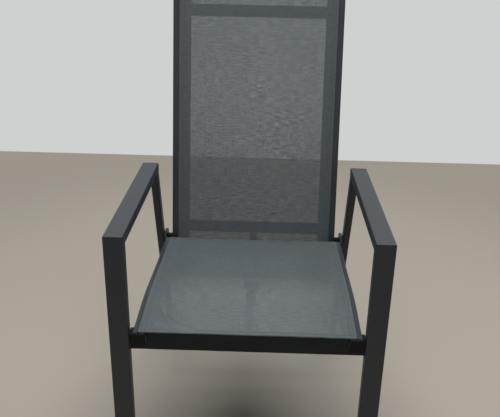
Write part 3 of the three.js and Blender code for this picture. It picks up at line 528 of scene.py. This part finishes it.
def settle(piece, name, material):
    """Names a finished piece, gives it its material and puts its place in its mesh."""
    select(piece)
    bpy.ops.object.transform_apply(location=True, rotation=True, scale=True)
    piece.name = name
    piece.data.name = name
    piece.data.materials.clear()
    piece.data.materials.append(material)
    return piece


def middle_of(node):
    """The middle of a node's box."""
    low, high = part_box(node)
    return (Vector(low) + Vector(high)) / 2


def ring_middles(node, axis):
    """The middles of a bar's rings of points, in order along an axis."""
    points = sorted((vertex.co for vertex in frame["nodes"][node].data.vertices),
                    key=lambda point: point[axis])
    rings = [[points[0]]]
    for point in points[1:]:
        if point[axis] - rings[-1][-1][axis] > RING_GAP:
            rings.append([])
        rings[-1].append(point)
    middles = []
    for ring in rings:
        spans = [(min(p[i] for p in ring), max(p[i] for p in ring)) for i in range(3)]
        middles.append(Vector([(low + high) / 2 for low, high in spans]))
    return middles


class SmoothLine:
    """A smooth line through points, read by the distance along it."""

    def __init__(self, points):
        self.points = points
        self.runs = [0.0]
        for first, second in zip(points, points[1:]):
            self.runs.append(self.runs[-1] + (second - first).length)
        self.length = self.runs[-1]
        last = len(points) - 1
        ends = [(max(0, i - 1), min(last, i + 1)) for i in range(len(points))]
        self.slopes = [(points[high] - points[low]) / (self.runs[high] - self.runs[low])
                       for low, high in ends]

    def at(self, run):
        """The point and the direction at a distance along the line, straight on past its ends."""
        if run <= 0:
            return self.points[0] + self.slopes[0] * run, self.slopes[0].normalized()
        if run >= self.length:
            past = run - self.length
            return self.points[-1] + self.slopes[-1] * past, self.slopes[-1].normalized()
        i = max(k for k, start in enumerate(self.runs[:-1]) if start <= run)
        step = self.runs[i + 1] - self.runs[i]
        t = (run - self.runs[i]) / step
        p0, p1 = self.points[i], self.points[i + 1]
        m0, m1 = self.slopes[i] * step, self.slopes[i + 1] * step
        point = (p0 * (2 * t ** 3 - 3 * t ** 2 + 1) + m0 * (t ** 3 - 2 * t ** 2 + t)
                 + p1 * (3 * t ** 2 - 2 * t ** 3) + m1 * (t ** 3 - t ** 2))
        slope = (p0 * (6 * t ** 2 - 6 * t) + m0 * (3 * t ** 2 - 4 * t + 1)
                 + p1 * (6 * t - 6 * t ** 2) + m1 * (3 * t ** 2 - 2 * t))
        return point, slope.normalized()


# Slings

class SlingPlan:
    """Where a sling lies: its cords' line, the way its face looks, and how high its cloth rises.

    A place on it is x, the distance across from its middle, and run, the distance along the rails.
    """

    def __init__(self, settings, keder, axis, face_hint):
        middles = ring_middles(keder, axis)
        self.settings = settings
        self.slot = abs(middles[0].x)
        self.line = SmoothLine([Vector((0, p.y, p.z)) for p in middles])
        self.length = self.line.length
        self.across = Vector((1, 0, 0))
        self.face_hint = Vector(face_hint)

    def frame_at(self, run):
        """The point on the slotted face, the direction along the rails and the way out."""
        point, along = self.line.at(run)
        up = self.across.cross(along)
        if up.dot(self.face_hint) < 0:
            up.negate()
        return point + up * GROOVE_DEPTH, along, up

    def point(self, x, height, run):
        """The point at a height above the slotted face."""
        middle, _, up = self.frame_at(run)
        return middle + self.across * x + up * height

    def from_middle(self, x):
        """One halfway between the rails, falling off to nought at each."""
        return max(0.0, 1 - (x / self.slot) ** 2)

    def end_run(self, x, end, inset=0.0):
        """How far along the rails the cloth's first or last end lies, or a line inset from it."""
        pull = self.settings.last_pull if end else self.settings.first_pull
        inset += pull * self.from_middle(x)
        return self.length - inset if end else inset

    def rise(self, x, run):
        """How high the cloth rises over its slots' plane: it sags a little."""
        return -self.settings.sag * self.from_middle(x)


class SeatPlan(SlingPlan):
    """The seat's sling, which has two old creases that run round its front left corner."""

    def rise(self, x, run):
        height = super().rise(x, run)
        away = Vector((x + self.slot - CREASE_CENTRE[0], run - CREASE_CENTRE[1]))
        for radius, rise, width in CREASES:
            ring = (away.length - radius) / width
            # One halfway round the corner, and nought where the crease has turned straight
            near_corner = max(0.0, -away.x / radius) * max(0.0, -away.y / radius) * 2
            height += rise * math.sqrt(near_corner) * math.exp(-ring * ring)
        return height


def section_path(slot, hem):
    """The cloth's whole path across the sling, from left hem to right, as points (x, height)."""
    columns = TOP_COLUMNS // 2
    flat_end = slot + SLOT_HALF - EDGE_RADIUS
    path = [(flat_end * i / columns, TOP_LAYER) for i in range(columns + 1)]
    for i in range(1, EDGE_STEPS + 1):
        angle = math.pi / 2 * (1 - i / EDGE_STEPS)
        path.append((flat_end + EDGE_RADIUS * math.cos(angle),
                     TOP_LAYER - EDGE_RADIUS + EDGE_RADIUS * math.sin(angle)))
    mouth = math.asin(SLOT_HALF / LOOP_RADIUS)
    for i in range(LOOP_POINTS + 1):
        angle = math.pi / 2 - mouth - (2 * math.pi - 2 * mouth) * i / LOOP_POINTS
        path.append((slot + LOOP_RADIUS * math.cos(angle),
                     -GROOVE_DEPTH + LOOP_RADIUS * math.sin(angle)))
    hem_start = slot - SLOT_HALF - EDGE_RADIUS
    path += [(slot - SLOT_HALF, SIDE_HEM_LAYER - EDGE_RADIUS),
             (slot - SLOT_HALF - EDGE_BULGE, SIDE_HEM_LAYER - EDGE_BULGE)]
    path += [(hem_start + (slot - hem - hem_start) * i / HEM_COLUMNS, SIDE_HEM_LAYER)
             for i in range(HEM_COLUMNS + 1)]
    return [(-x, height) for x, height in reversed(path[1:])] + path


def path_lengths(path):
    """How far along the path each of its points lies, from the middle."""
    lengths = [0.0]
    for (x0, h0), (x1, h1) in zip(path, path[1:]):
        lengths.append(lengths[-1] + math.hypot(x1 - x0, h1 - h0))
    middle = lengths[len(path) // 2]
    return [length - middle for length in lengths]


def half_yarn_shift(length, pitch):
    """The shift to an odd number of half yarns, at which a hem's yarns close the cloth's holes."""
    return (0.5 - length / pitch) % 1 * pitch


def grid_piece(columns, rows, place, flat_place):
    """Adds a grid, and gives its points the places and flat places of their columns and rows."""
    deselect()
    bpy.ops.mesh.primitive_grid_add(x_subdivisions=columns, y_subdivisions=rows, size=1.0)
    piece = bpy.context.object
    cells = {vertex.index: (round((vertex.co.x + 0.5) * columns), round((vertex.co.y + 0.5) * rows))
             for vertex in piece.data.vertices}
    for vertex in piece.data.vertices:
        vertex.co = place(*cells[vertex.index])
    layer = piece.data.uv_layers[0]
    layer.name = "cloth"
    for loop in piece.data.loops:
        layer.data[loop.index].uv = flat_place(*cells[loop.vertex_index])
    return piece


def thicken(piece, thickness):
    """Gives a flat piece its thickness, half to each side."""
    select(piece)
    modifier = piece.modifiers.new("thickness", "SOLIDIFY")
    modifier.thickness = thickness
    modifier.offset = 0
    bpy.ops.object.modifier_apply(modifier=modifier.name)
    bpy.ops.object.shade_smooth_by_angle(angle=SMOOTH_ANGLE)


def end_hem(plan, end):
    """The cloth turned under at the first or last end, as a strip from the upper layer's edge."""
    settings = plan.settings
    half = plan.slot - SLOT_HALF - EDGE_RADIUS - CLOTH_THICKNESS
    fold = [(0.0, TOP_LAYER), (-FOLD_BULGE, (TOP_LAYER + END_HEM_LAYER) / 2)]
    fold += [(settings.end_hem_width * i / END_HEM_ROWS, END_HEM_LAYER)
             for i in range(END_HEM_ROWS + 1)]
    # The flat hem is the mirror image of its folded place, past the cloth's end
    turned = end * 2 * plan.length
    turned += half_yarn_shift(turned, settings.yarn_pitch)

    def x_at(column):
        return half * (2 * column / TOP_COLUMNS - 1)

    def place(column, row):
        x = x_at(column)
        inset, height = fold[row]
        run = plan.end_run(x, end, inset)
        if inset > 0:
            past_start = max(0.0, abs(x) - (plan.slot - CLIMB_START))
            height += min(1.0, past_start / CLIMB_LENGTH) * (CLOTH_THICKNESS + LAYER_GAP)
        return plan.point(x, height + plan.rise(x, run), run)

    def flat_place(column, row):
        x = x_at(column)
        return x, turned - plan.end_run(x, end, fold[row][0])

    return grid_piece(TOP_COLUMNS, len(fold) - 1, place, flat_place)


def make_sling(name, plan, material):
    """Makes a sling with its side hems, which go round the cords, and its end hems.

    Returns it with its cut size.
    """
    settings = plan.settings
    path = section_path(plan.slot, settings.hem_width)
    flat = path_lengths(path)
    cut = flat[-1] - flat[0], plan.length + 2 * settings.end_hem_width
    shift = half_yarn_shift(flat[-1] + path[-1][0], settings.yarn_pitch)
    for i in range(HEM_COLUMNS + 1):
        flat[i] -= shift
        flat[-1 - i] += shift
    rows = round(plan.length / ROW_LENGTH)

    def run_at(column, row):
        x = path[column][0]
        first, last = plan.end_run(x, 0), plan.end_run(x, 1)
        return first + (last - first) * row / rows

    def place(column, row):
        x, height = path[column]
        run = run_at(column, row)
        return plan.point(x, height + (plan.rise(x, run) if height > 0 else 0), run)

    def flat_place(column, row):
        return flat[column], run_at(column, row)

    cloth = grid_piece(len(path) - 1, rows, place, flat_place)
    pieces = [cloth, end_hem(plan, 0), end_hem(plan, 1)]
    for piece in pieces:
        thicken(piece, CLOTH_THICKNESS)
    select(*pieces)
    bpy.ops.object.join()
    return settle(cloth, name, material), cut


def stitch_piece():
    """One stitch: a short stretch of thread with narrowed ends, along X at the origin."""
    end, narrowed = STITCH_LENGTH * 0.5, STITCH_HALF_WIDTH * 0.35
    body = STITCH_LENGTH * 0.35
    stitch = turned_piece([(-end, narrowed), (-body, STITCH_HALF_WIDTH), (body, STITCH_HALF_WIDTH),
                           (end, narrowed)], sides=STITCH_SIDES)
    stitch.rotation_euler.y = math.pi / 2
    bpy.ops.object.transform_apply(location=False, rotation=True, scale=False)
    return stitch


def copy_along(model, name, places, material):
    """Copies a small piece to every place, which gives a point, a direction and the way up."""
    copies = []
    for place, along, up in places:
        copy = model.copy()
        copy.data = model.data.copy()
        across = up.cross(along).normalized()
        basis = Matrix((along, across, up)).transposed().to_4x4()
        copy.matrix_world = Matrix.Translation(place) @ basis
        bpy.context.collection.objects.link(copy)
        copies.append(copy)
    bpy.data.objects.remove(model)
    select(*copies)
    bpy.ops.object.join()
    row = settle(copies[0], name, material)
    bpy.ops.object.shade_smooth_by_angle(angle=SMALL_SMOOTH_ANGLE)
    return row


def seam_places(plan):
    """Where every stitch of a sling's seams lies: rows along both sides and across both ends."""
    top = TOP_LAYER + 0.5 * CLOTH_THICKNESS + STITCH_LIFT

    def place(x, run, along=None):
        _, along_rails, up = plan.frame_at(run)
        point = plan.point(x, top + plan.rise(x, run), run)
        return point, along_rails if along is None else along, up

    side_count = int((plan.length - 2 * SEAM_MARGIN) / STITCH_PITCH)
    places = [place(side * (plan.slot - inset), SEAM_MARGIN + i * STITCH_PITCH)
              for inset in SIDE_SEAMS for side in (-1, 1) for i in range(side_count)]
    half = plan.slot - SEAM_MARGIN
    columns = [-half + i * STITCH_PITCH for i in range(int(2 * half / STITCH_PITCH))]
    places += [place(x, plan.end_run(x, end, END_SEAM), plan.across)
               for end in (0, 1) for x in columns]
    return places


# Turned pieces

def turned_piece(profile, ring=False, sides=TURN_SIDES):
    """Turns a profile of (distance along Z, radius), by extruding a disc or ring along it."""
    deselect()
    run, radius = profile[0]
    bpy.ops.mesh.primitive_circle_add(vertices=sides, radius=radius, location=(0, 0, run),
                                      fill_type="NOTHING" if ring else "NGON")
    piece = bpy.context.object
    bpy.ops.object.transform_apply(location=True, rotation=True, scale=True)
    bpy.ops.object.mode_set(mode="EDIT")
    bpy.ops.mesh.select_mode(type="EDGE" if ring else "FACE")
    bpy.ops.mesh.select_all(action="SELECT")
    for (run0, radius0), (run1, radius1) in zip(profile, profile[1:]):
        bpy.ops.mesh.extrude_region_move(TRANSFORM_OT_translate={"value": (0, 0, run1 - run0)})
        share = radius1 / radius0
        bpy.ops.transform.resize(value=(share, share, 1), center_override=(0, 0, run1))
    bpy.ops.mesh.select_all(action="SELECT")
    bpy.ops.mesh.remove_doubles(threshold=MERGE_DISTANCE)
    bpy.ops.mesh.normals_make_consistent(inside=False)
    bpy.ops.object.mode_set(mode="OBJECT")
    return piece


def collar(start, end, bore, radius, edge):
    """A ring with a bore and chamfered outer edges, from start to end along Z."""
    profile = [(start, bore), (start, radius - edge), (start + edge, radius)]
    profile += [(end - edge, radius), (end, radius - edge), (end, bore), (start, bore)]
    return turned_piece(profile, ring=True)


def combine(piece, other, operation):
    """Adds another closed piece to a piece, or cuts it out, and removes the other."""
    select(piece)
    modifier = piece.modifiers.new("shape", "BOOLEAN")
    modifier.operation = operation
    modifier.solver = "EXACT"
    modifier.object = other
    bpy.ops.object.modifier_apply(modifier=modifier.name)
    bpy.data.objects.remove(other)


def put(piece, name, material, origin, direction):
    """Lays a turned piece along a direction from an origin and finishes it."""
    turn = Vector((0, 0, 1)).rotation_difference(direction).to_matrix().to_4x4()
    piece.matrix_world = Matrix.Translation(origin) @ turn
    settle(piece, name, material)
    bpy.ops.object.shade_smooth_by_angle(angle=SMOOTH_ANGLE)
    return piece


def stand_for(piece, node, body):
    """Lets a piece take a node's place on its body, and hides the node."""
    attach(piece, body)
    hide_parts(node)


def socket_bolt(length, head_radius, head_height, shank_radius, socket_radius):
    """A button-head bolt with a hexagon socket, its head at the origin and its shank along Z."""
    # The head's outline, as shares of its height and of its radius
    shape = (0.0, 0.6), (0.1, 0.76), (0.28, 0.89), (0.5, 0.97), (0.75, 1.0), (1.0, 1.0)
    profile = [(head_height * run, head_radius * share) for run, share in shape]
    profile += [(head_height, shank_radius), (length - THREAD_CHAMFER, shank_radius)]
    profile += [(length, shank_radius - THREAD_CHAMFER)]
    bolt = turned_piece(profile)
    deselect()
    bpy.ops.mesh.primitive_cylinder_add(vertices=6, radius=socket_radius, depth=head_height)
    combine(bolt, bpy.context.object, "DIFFERENCE")
    return bolt


def headed_pin(length):
    """A pin with a flat head at both ends, along Z from the origin."""
    edge = PIN_HEAD_HEIGHT / 4
    half = [(0.0, PIN_HEAD - edge), (edge, PIN_HEAD), (PIN_HEAD_HEIGHT, PIN_HEAD),
            (PIN_HEAD_HEIGHT, PIN_RADIUS)]
    return turned_piece(half + [(length - run, radius) for run, radius in reversed(half)])


# Welds

def end_outline(node, axis, end):
    """The outer outline of a tube's end, as points in order round it."""
    points = [vertex.co.copy() for vertex in frame["nodes"][node].data.vertices]
    reach = max(end * point[axis] for point in points)
    ring = [point for point in points if end * point[axis] > reach - END_DEPTH]
    first, second = [i for i in range(3) if i != axis]
    order = convex_hull_2d([Vector((point[first], point[second])) for point in ring])
    return [ring[i] for i in order]


def bead_places(node, axis, end, clear):
    """Where the ripples of the weld round a tube's end lie.

    Each place gives a point, the weld's direction and the way out of the tube.
    """
    outline = end_outline(node, axis, end)
    middle = sum(outline, Vector()) / len(outline)
    away = Vector([end if i == axis else 0 for i in range(3)])
    places = []
    left_over = 0.0
    for first, second in zip(outline, outline[1:] + outline[:1]):
        along = second - first
        length = along.length
        if length < MERGE_DISTANCE:
            continue
        along.normalize()
        outwards = along.cross(away).normalized()
        if outwards.dot((first + second) / 2 - middle) < 0:
            outwards.negate()
        run = left_over
        while run < length:
            place = first + along * run + outwards * BEAD_OFFSET
            if clear is None or clear.dot(place - middle) < clear.dot(clear):
                places.append((place, along, outwards))
            run += BEAD_PITCH
        left_over = run - length
    return places


def bead_piece():
    """One ripple of a weld: a small flat dome, thin along X, at the origin."""
    deselect()
    bpy.ops.mesh.primitive_uv_sphere_add(segments=8, ring_count=6, radius=BEAD_RADIUS)
    bead = bpy.context.object
    bead.scale = (BEAD_FLATNESS, 1, 1)
    bpy.ops.object.transform_apply(location=False, rotation=False, scale=True)
    return bead


# Operators

class CHAIR_OT_stage(bpy.types.Operator):
    """Makes the floor, the lamps, the pale surroundings and the camera"""
    bl_idname = "chair.stage"
    bl_label = "Stage"

    def execute(self, context):
        stage = context.scene.chair_stage
        deselect()
        middle = stage.floor_end - FLOOR_HALF
        bpy.ops.mesh.primitive_plane_add(size=2 * FLOOR_HALF, location=(0, middle, 0))
        floor = settle(context.object, "floor", floor_paint(stage.floor))
        self.add_lamps(context)
        self.add_camera(context, stage)
        context.scene.world = studio_world(stage.backdrop)
        context.scene.view_settings.view_transform = "Standard"
        return {"FINISHED"}

    def add_lamps(self, context):
        """One broad white lamp overhead, and a weak cool one in front."""
        for name, (place, turn, size, power, colour) in LAMPS.items():
            bpy.ops.object.light_add(type="AREA", location=place,
                                     rotation=(math.radians(turn), 0, 0))
            lamp = context.object
            lamp.name = name
            lamp.data.shape = "RECTANGLE"
            lamp.data.size, lamp.data.size_y = size
            lamp.data.energy = power
            lamp.data.color = linear(colour)

    def add_camera(self, context, stage):
        """The camera stands where the photograph's did, and is computed for that picture's size."""
        bpy.ops.object.camera_add()
        camera = context.object
        camera.name = "camera"
        pan = Matrix.Rotation(-stage.camera_pan, 4, "Z")
        tilt = Matrix.Rotation(math.pi / 2 - stage.camera_tilt, 4, "X")
        roll = Matrix.Rotation(stage.camera_roll, 4, "Z")
        camera.matrix_world = Matrix.Translation(stage.camera_place) @ pan @ tilt @ roll
        camera.data.sensor_width = SENSOR_WIDTH
        camera.data.lens = stage.lens
        camera.data.shift_x = (PICTURE_WIDTH / 2 - CENTRE_COLUMN) / PICTURE_WIDTH
        camera.data.shift_y = (CENTRE_ROW - PICTURE_HEIGHT / 2) / PICTURE_WIDTH
        context.scene.camera = camera


class CHAIR_OT_finishes(bpy.types.Operator):
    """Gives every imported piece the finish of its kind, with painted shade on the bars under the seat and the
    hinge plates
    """
    bl_idname = "chair.finishes"
    bl_label = "Finishes"

    def execute(self, context):
        finish = context.scene.chair_finish
        made = {
            "coat": powder_coat("polyester_powder_coat", finish.coat, gloss_level=0.58),
            "black_plastic": moulded_plastic(finish.plastic),
            "zinc": zinc_plate(),
            "chrome": hard_chrome(),
            "black_enamel": black_enamel(finish.enamel),
        }
        # Painted shade: the bars under the seat and the hinge plates get the same coat in a darker colour, with
        # less gloss.
        darker_coat_for_shade = powder_coat("powder_coat_painted_shade", finish.painted_shade_coat, gloss_level=0.25)
        for part in frame["record"]["subparts"]:
            material = darker_coat_for_shade if part["node"] in PAINTED_SHADE_PIECES else made.get(part["material_slot"])
            if material is None:
                continue
            for slot in frame["nodes"][part["node"]].material_slots:
                slot.material = material
        return {"FINISHED"}


class CHAIR_OT_slings(bpy.types.Operator):
    """Makes the seat's and the back's slings and their seams"""
    bl_idname = "chair.slings"
    bl_label = "Slings"

    def execute(self, context):
        settings = context.scene.chair_sling
        finishes = woven_mesh(settings.colour, settings.yarn_pitch), seam_thread(settings.colour)
        plan = SeatPlan(settings, "left_seat_keder", 1, (0, 0, 1))
        cloth, seams, cut = self.sew("seat", plan, *finishes)
        for piece in (cloth, seams):
            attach(piece, "frame")
        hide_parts("seat_sling")
        plan = SlingPlan(settings, "left_back_keder", 2, (0, -1, 0))
        cloth, seams, cut = self.sew("back", plan, *finishes)
        for piece in (cloth, seams):
            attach(piece, "back")
        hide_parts("back_sling")
        return {"FINISHED"}

    def sew(self, name, plan, mesh, thread):
        """A sling, its seams and its cut size."""
        cloth, cut = make_sling(f"{name}_cloth", plan, mesh)
        seams = copy_along(stitch_piece(), f"{name}_seams", seam_places(plan), thread)
        return cloth, seams, cut


class CHAIR_OT_gas_spring(bpy.types.Operator):
    """Makes the gas spring's cylinder with its eye, and the sleeve over its rod"""
    bl_idname = "chair.gas_spring"
    bl_label = "Gas spring"

    def execute(self, context):
        enamel = bpy.data.materials["baked_enamel"]
        slide = next(joint for joint in frame["joints"] if joint["name"] == "rod_slide")
        along = -Vector(slide["axis"])
        start = middle_of("spring_bracket_pin")
        self.add_cylinder(enamel, start, along)
        self.add_sleeve(enamel, start, along)
        return {"FINISHED"}

    def add_cylinder(self, enamel, start, along):
        """The cylinder with rounded ends, its neck and its eye."""
        last = self.reach("gas_cylinder", start, along)[1]
        # How far each point of a rounded end lies in from the end, and in from the cylinder's side
        rounding = (0.0, 2 * MM), (0.5 * MM, 0.9 * MM), (2 * MM, 0.0)
        profile = [(last - ROD_BORE_DEPTH, ROD_BORE), (last, ROD_BORE)]
        profile += [(last - inset, CYLINDER_RADIUS - drop) for inset, drop in rounding]
        profile += [(CYLINDER_NOSE + inset, CYLINDER_RADIUS - drop)
                    for inset, drop in reversed(rounding)]
        profile += [(CYLINDER_NOSE - inset, NECK_RADIUS) for inset in NECK_INSETS]
        body = put(turned_piece(profile), "cylinder_tube", enamel, start, along)
        eye = collar(-EYE_HALF_WIDTH, EYE_HALF_WIDTH, PIN_BORE, EYE_RADIUS, EYE_EDGE)
        combine(body, put(eye, "cylinder_eye", enamel, start, Vector((1, 0, 0))), "UNION")
        select(body)
        bpy.ops.object.shade_smooth_by_angle(angle=SMOOTH_ANGLE)
        stand_for(body, "gas_cylinder", "cylinder")

    def add_sleeve(self, enamel, start, along):
        """The sleeve over the rod, open towards the cylinder and shut at its far end."""
        mouth, shut = self.reach("rod_sleeve", start, along)
        inside = SLEEVE_RADIUS - SLEEVE_WALL
        sleeve = turned_piece([
            (mouth, inside + SLEEVE_EDGE),
            (mouth, SLEEVE_RADIUS - SLEEVE_EDGE),
            (mouth + SLEEVE_EDGE, SLEEVE_RADIUS),
            (shut - 3 * SLEEVE_EDGE, SLEEVE_RADIUS),
            (shut - SLEEVE_EDGE, SLEEVE_RADIUS - SLEEVE_EDGE),
            (shut, SLEEVE_RADIUS - 3 * SLEEVE_EDGE),
            (shut, ROD_BORE),
            (shut - SLEEVE_END, ROD_BORE),
            (shut - SLEEVE_END, inside),
            (mouth + SLEEVE_EDGE, inside),
            (mouth, inside + SLEEVE_EDGE),
        ], ring=True)
        put(sleeve, "rod_cover", enamel, start, along)
        stand_for(sleeve, "rod_sleeve", "piston_rod")

    def reach(self, node, start, along):
        """How far a node reaches along the spring, from its nearer to its farther end."""
        runs = [(vertex.co - start).dot(along) for vertex in frame["nodes"][node].data.vertices]
        return min(runs), max(runs)


class CHAIR_OT_fasteners(bpy.types.Operator):
    """Makes the bolts, pins and bushes"""
    bl_idname = "chair.fasteners"
    bl_label = "Bolts, pins and bushes"

    def execute(self, context):
        zinc = bpy.data.materials["bright_zinc_plate"]
        plastic = bpy.data.materials["moulded_polypropylene"]
        across = Vector((1, 0, 0))
        for kind, (axis, *sizes) in BOLTS.items():
            for side, sign in (("left", -1), ("right", 1)):
                node = f"{side}_{kind}"
                low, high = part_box(node)
                length = high[axis] - low[axis]
                outwards = Vector((0, 0, 1)) if axis == 2 else across * sign
                head = middle_of(node) - outwards * length / 2
                bolt = socket_bolt(length, *sizes)
                put(bolt, f"{side}_{kind}_socket_head", zinc, head, outwards)
                stand_for(bolt, node, "frame")
        for node, body in (("spring_bracket_pin", "frame"), ("lever_fork_pin", "back")):
            low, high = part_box(node)
            length = high[0] - low[0]
            start = middle_of(node) - across * length / 2
            pin = put(headed_pin(length), f"{node}_turned", zinc, start, across)
            stand_for(pin, node, body)
        for side in ("left", "right"):
            node = f"{side}_hinge_bush"
            low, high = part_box(node)
            length = high[0] - low[0]
            start = middle_of(node) - across * length / 2
            bush = collar(0.0, length, PIN_BORE, BUSH_RADIUS, BUSH_EDGE)
            put(bush, f"{side}_hinge_bush_turned", plastic, start, across)
            stand_for(bush, node, "frame")
        return {"FINISHED"}


class CHAIR_OT_welds(bpy.types.Operator):
    """Makes the coated weld beads where the crossbars and the rear legs end"""
    bl_idname = "chair.welds"
    bl_label = "Weld beads"

    def execute(self, context):
        coat = bpy.data.materials["polyester_powder_coat"]
        for body, tubes in WELDS.items():
            places = [place for node, axis, ends, clear in tubes for end in ends
                      for place in bead_places(node, axis, end, clear)]
            welds = copy_along(bead_piece(), f"{body}_welds", places, coat)
            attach(welds, body)
        return {"FINISHED"}


class CHAIR_PT_panel(bpy.types.Panel):
    """Lists the chair's settings and the operators that make its pieces"""
    bl_idname = "CHAIR_PT_panel"
    bl_label = "Sling chair"
    bl_space_type = "VIEW_3D"
    bl_region_type = "UI"
    bl_category = "Chair"

    def draw(self, context):
        for operator in OPERATORS:
            self.layout.operator(operator.bl_idname)
        for place, group in SETTINGS.items():
            for name in group.__annotations__:
                self.layout.prop(getattr(context.scene, place), name)


SETTINGS = {"chair_sling": SlingSettings, "chair_finish": FinishSettings,
            "chair_stage": StageSettings}
OPERATORS = (CHAIR_OT_stage, CHAIR_OT_finishes, CHAIR_OT_slings, CHAIR_OT_gas_spring,
             CHAIR_OT_fasteners, CHAIR_OT_welds)
CLASSES = (*SETTINGS.values(), *OPERATORS, CHAIR_PT_panel)


def register():
    for item in CLASSES:
        bpy.utils.register_class(item)
    for place, group in SETTINGS.items():
        setattr(bpy.types.Scene, place, PointerProperty(type=group))


def unregister():
    for place in SETTINGS:
        delattr(bpy.types.Scene, place)
    for item in reversed(CLASSES):
        bpy.utils.unregister_class(item)


def main():
    """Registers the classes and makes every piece."""
    register()
    bpy.ops.chair.stage()
    bpy.ops.chair.finishes()
    bpy.ops.chair.slings()
    bpy.ops.chair.gas_spring()
    bpy.ops.chair.fasteners()
    bpy.ops.chair.welds()


if __name__ == "__main__":
    main()
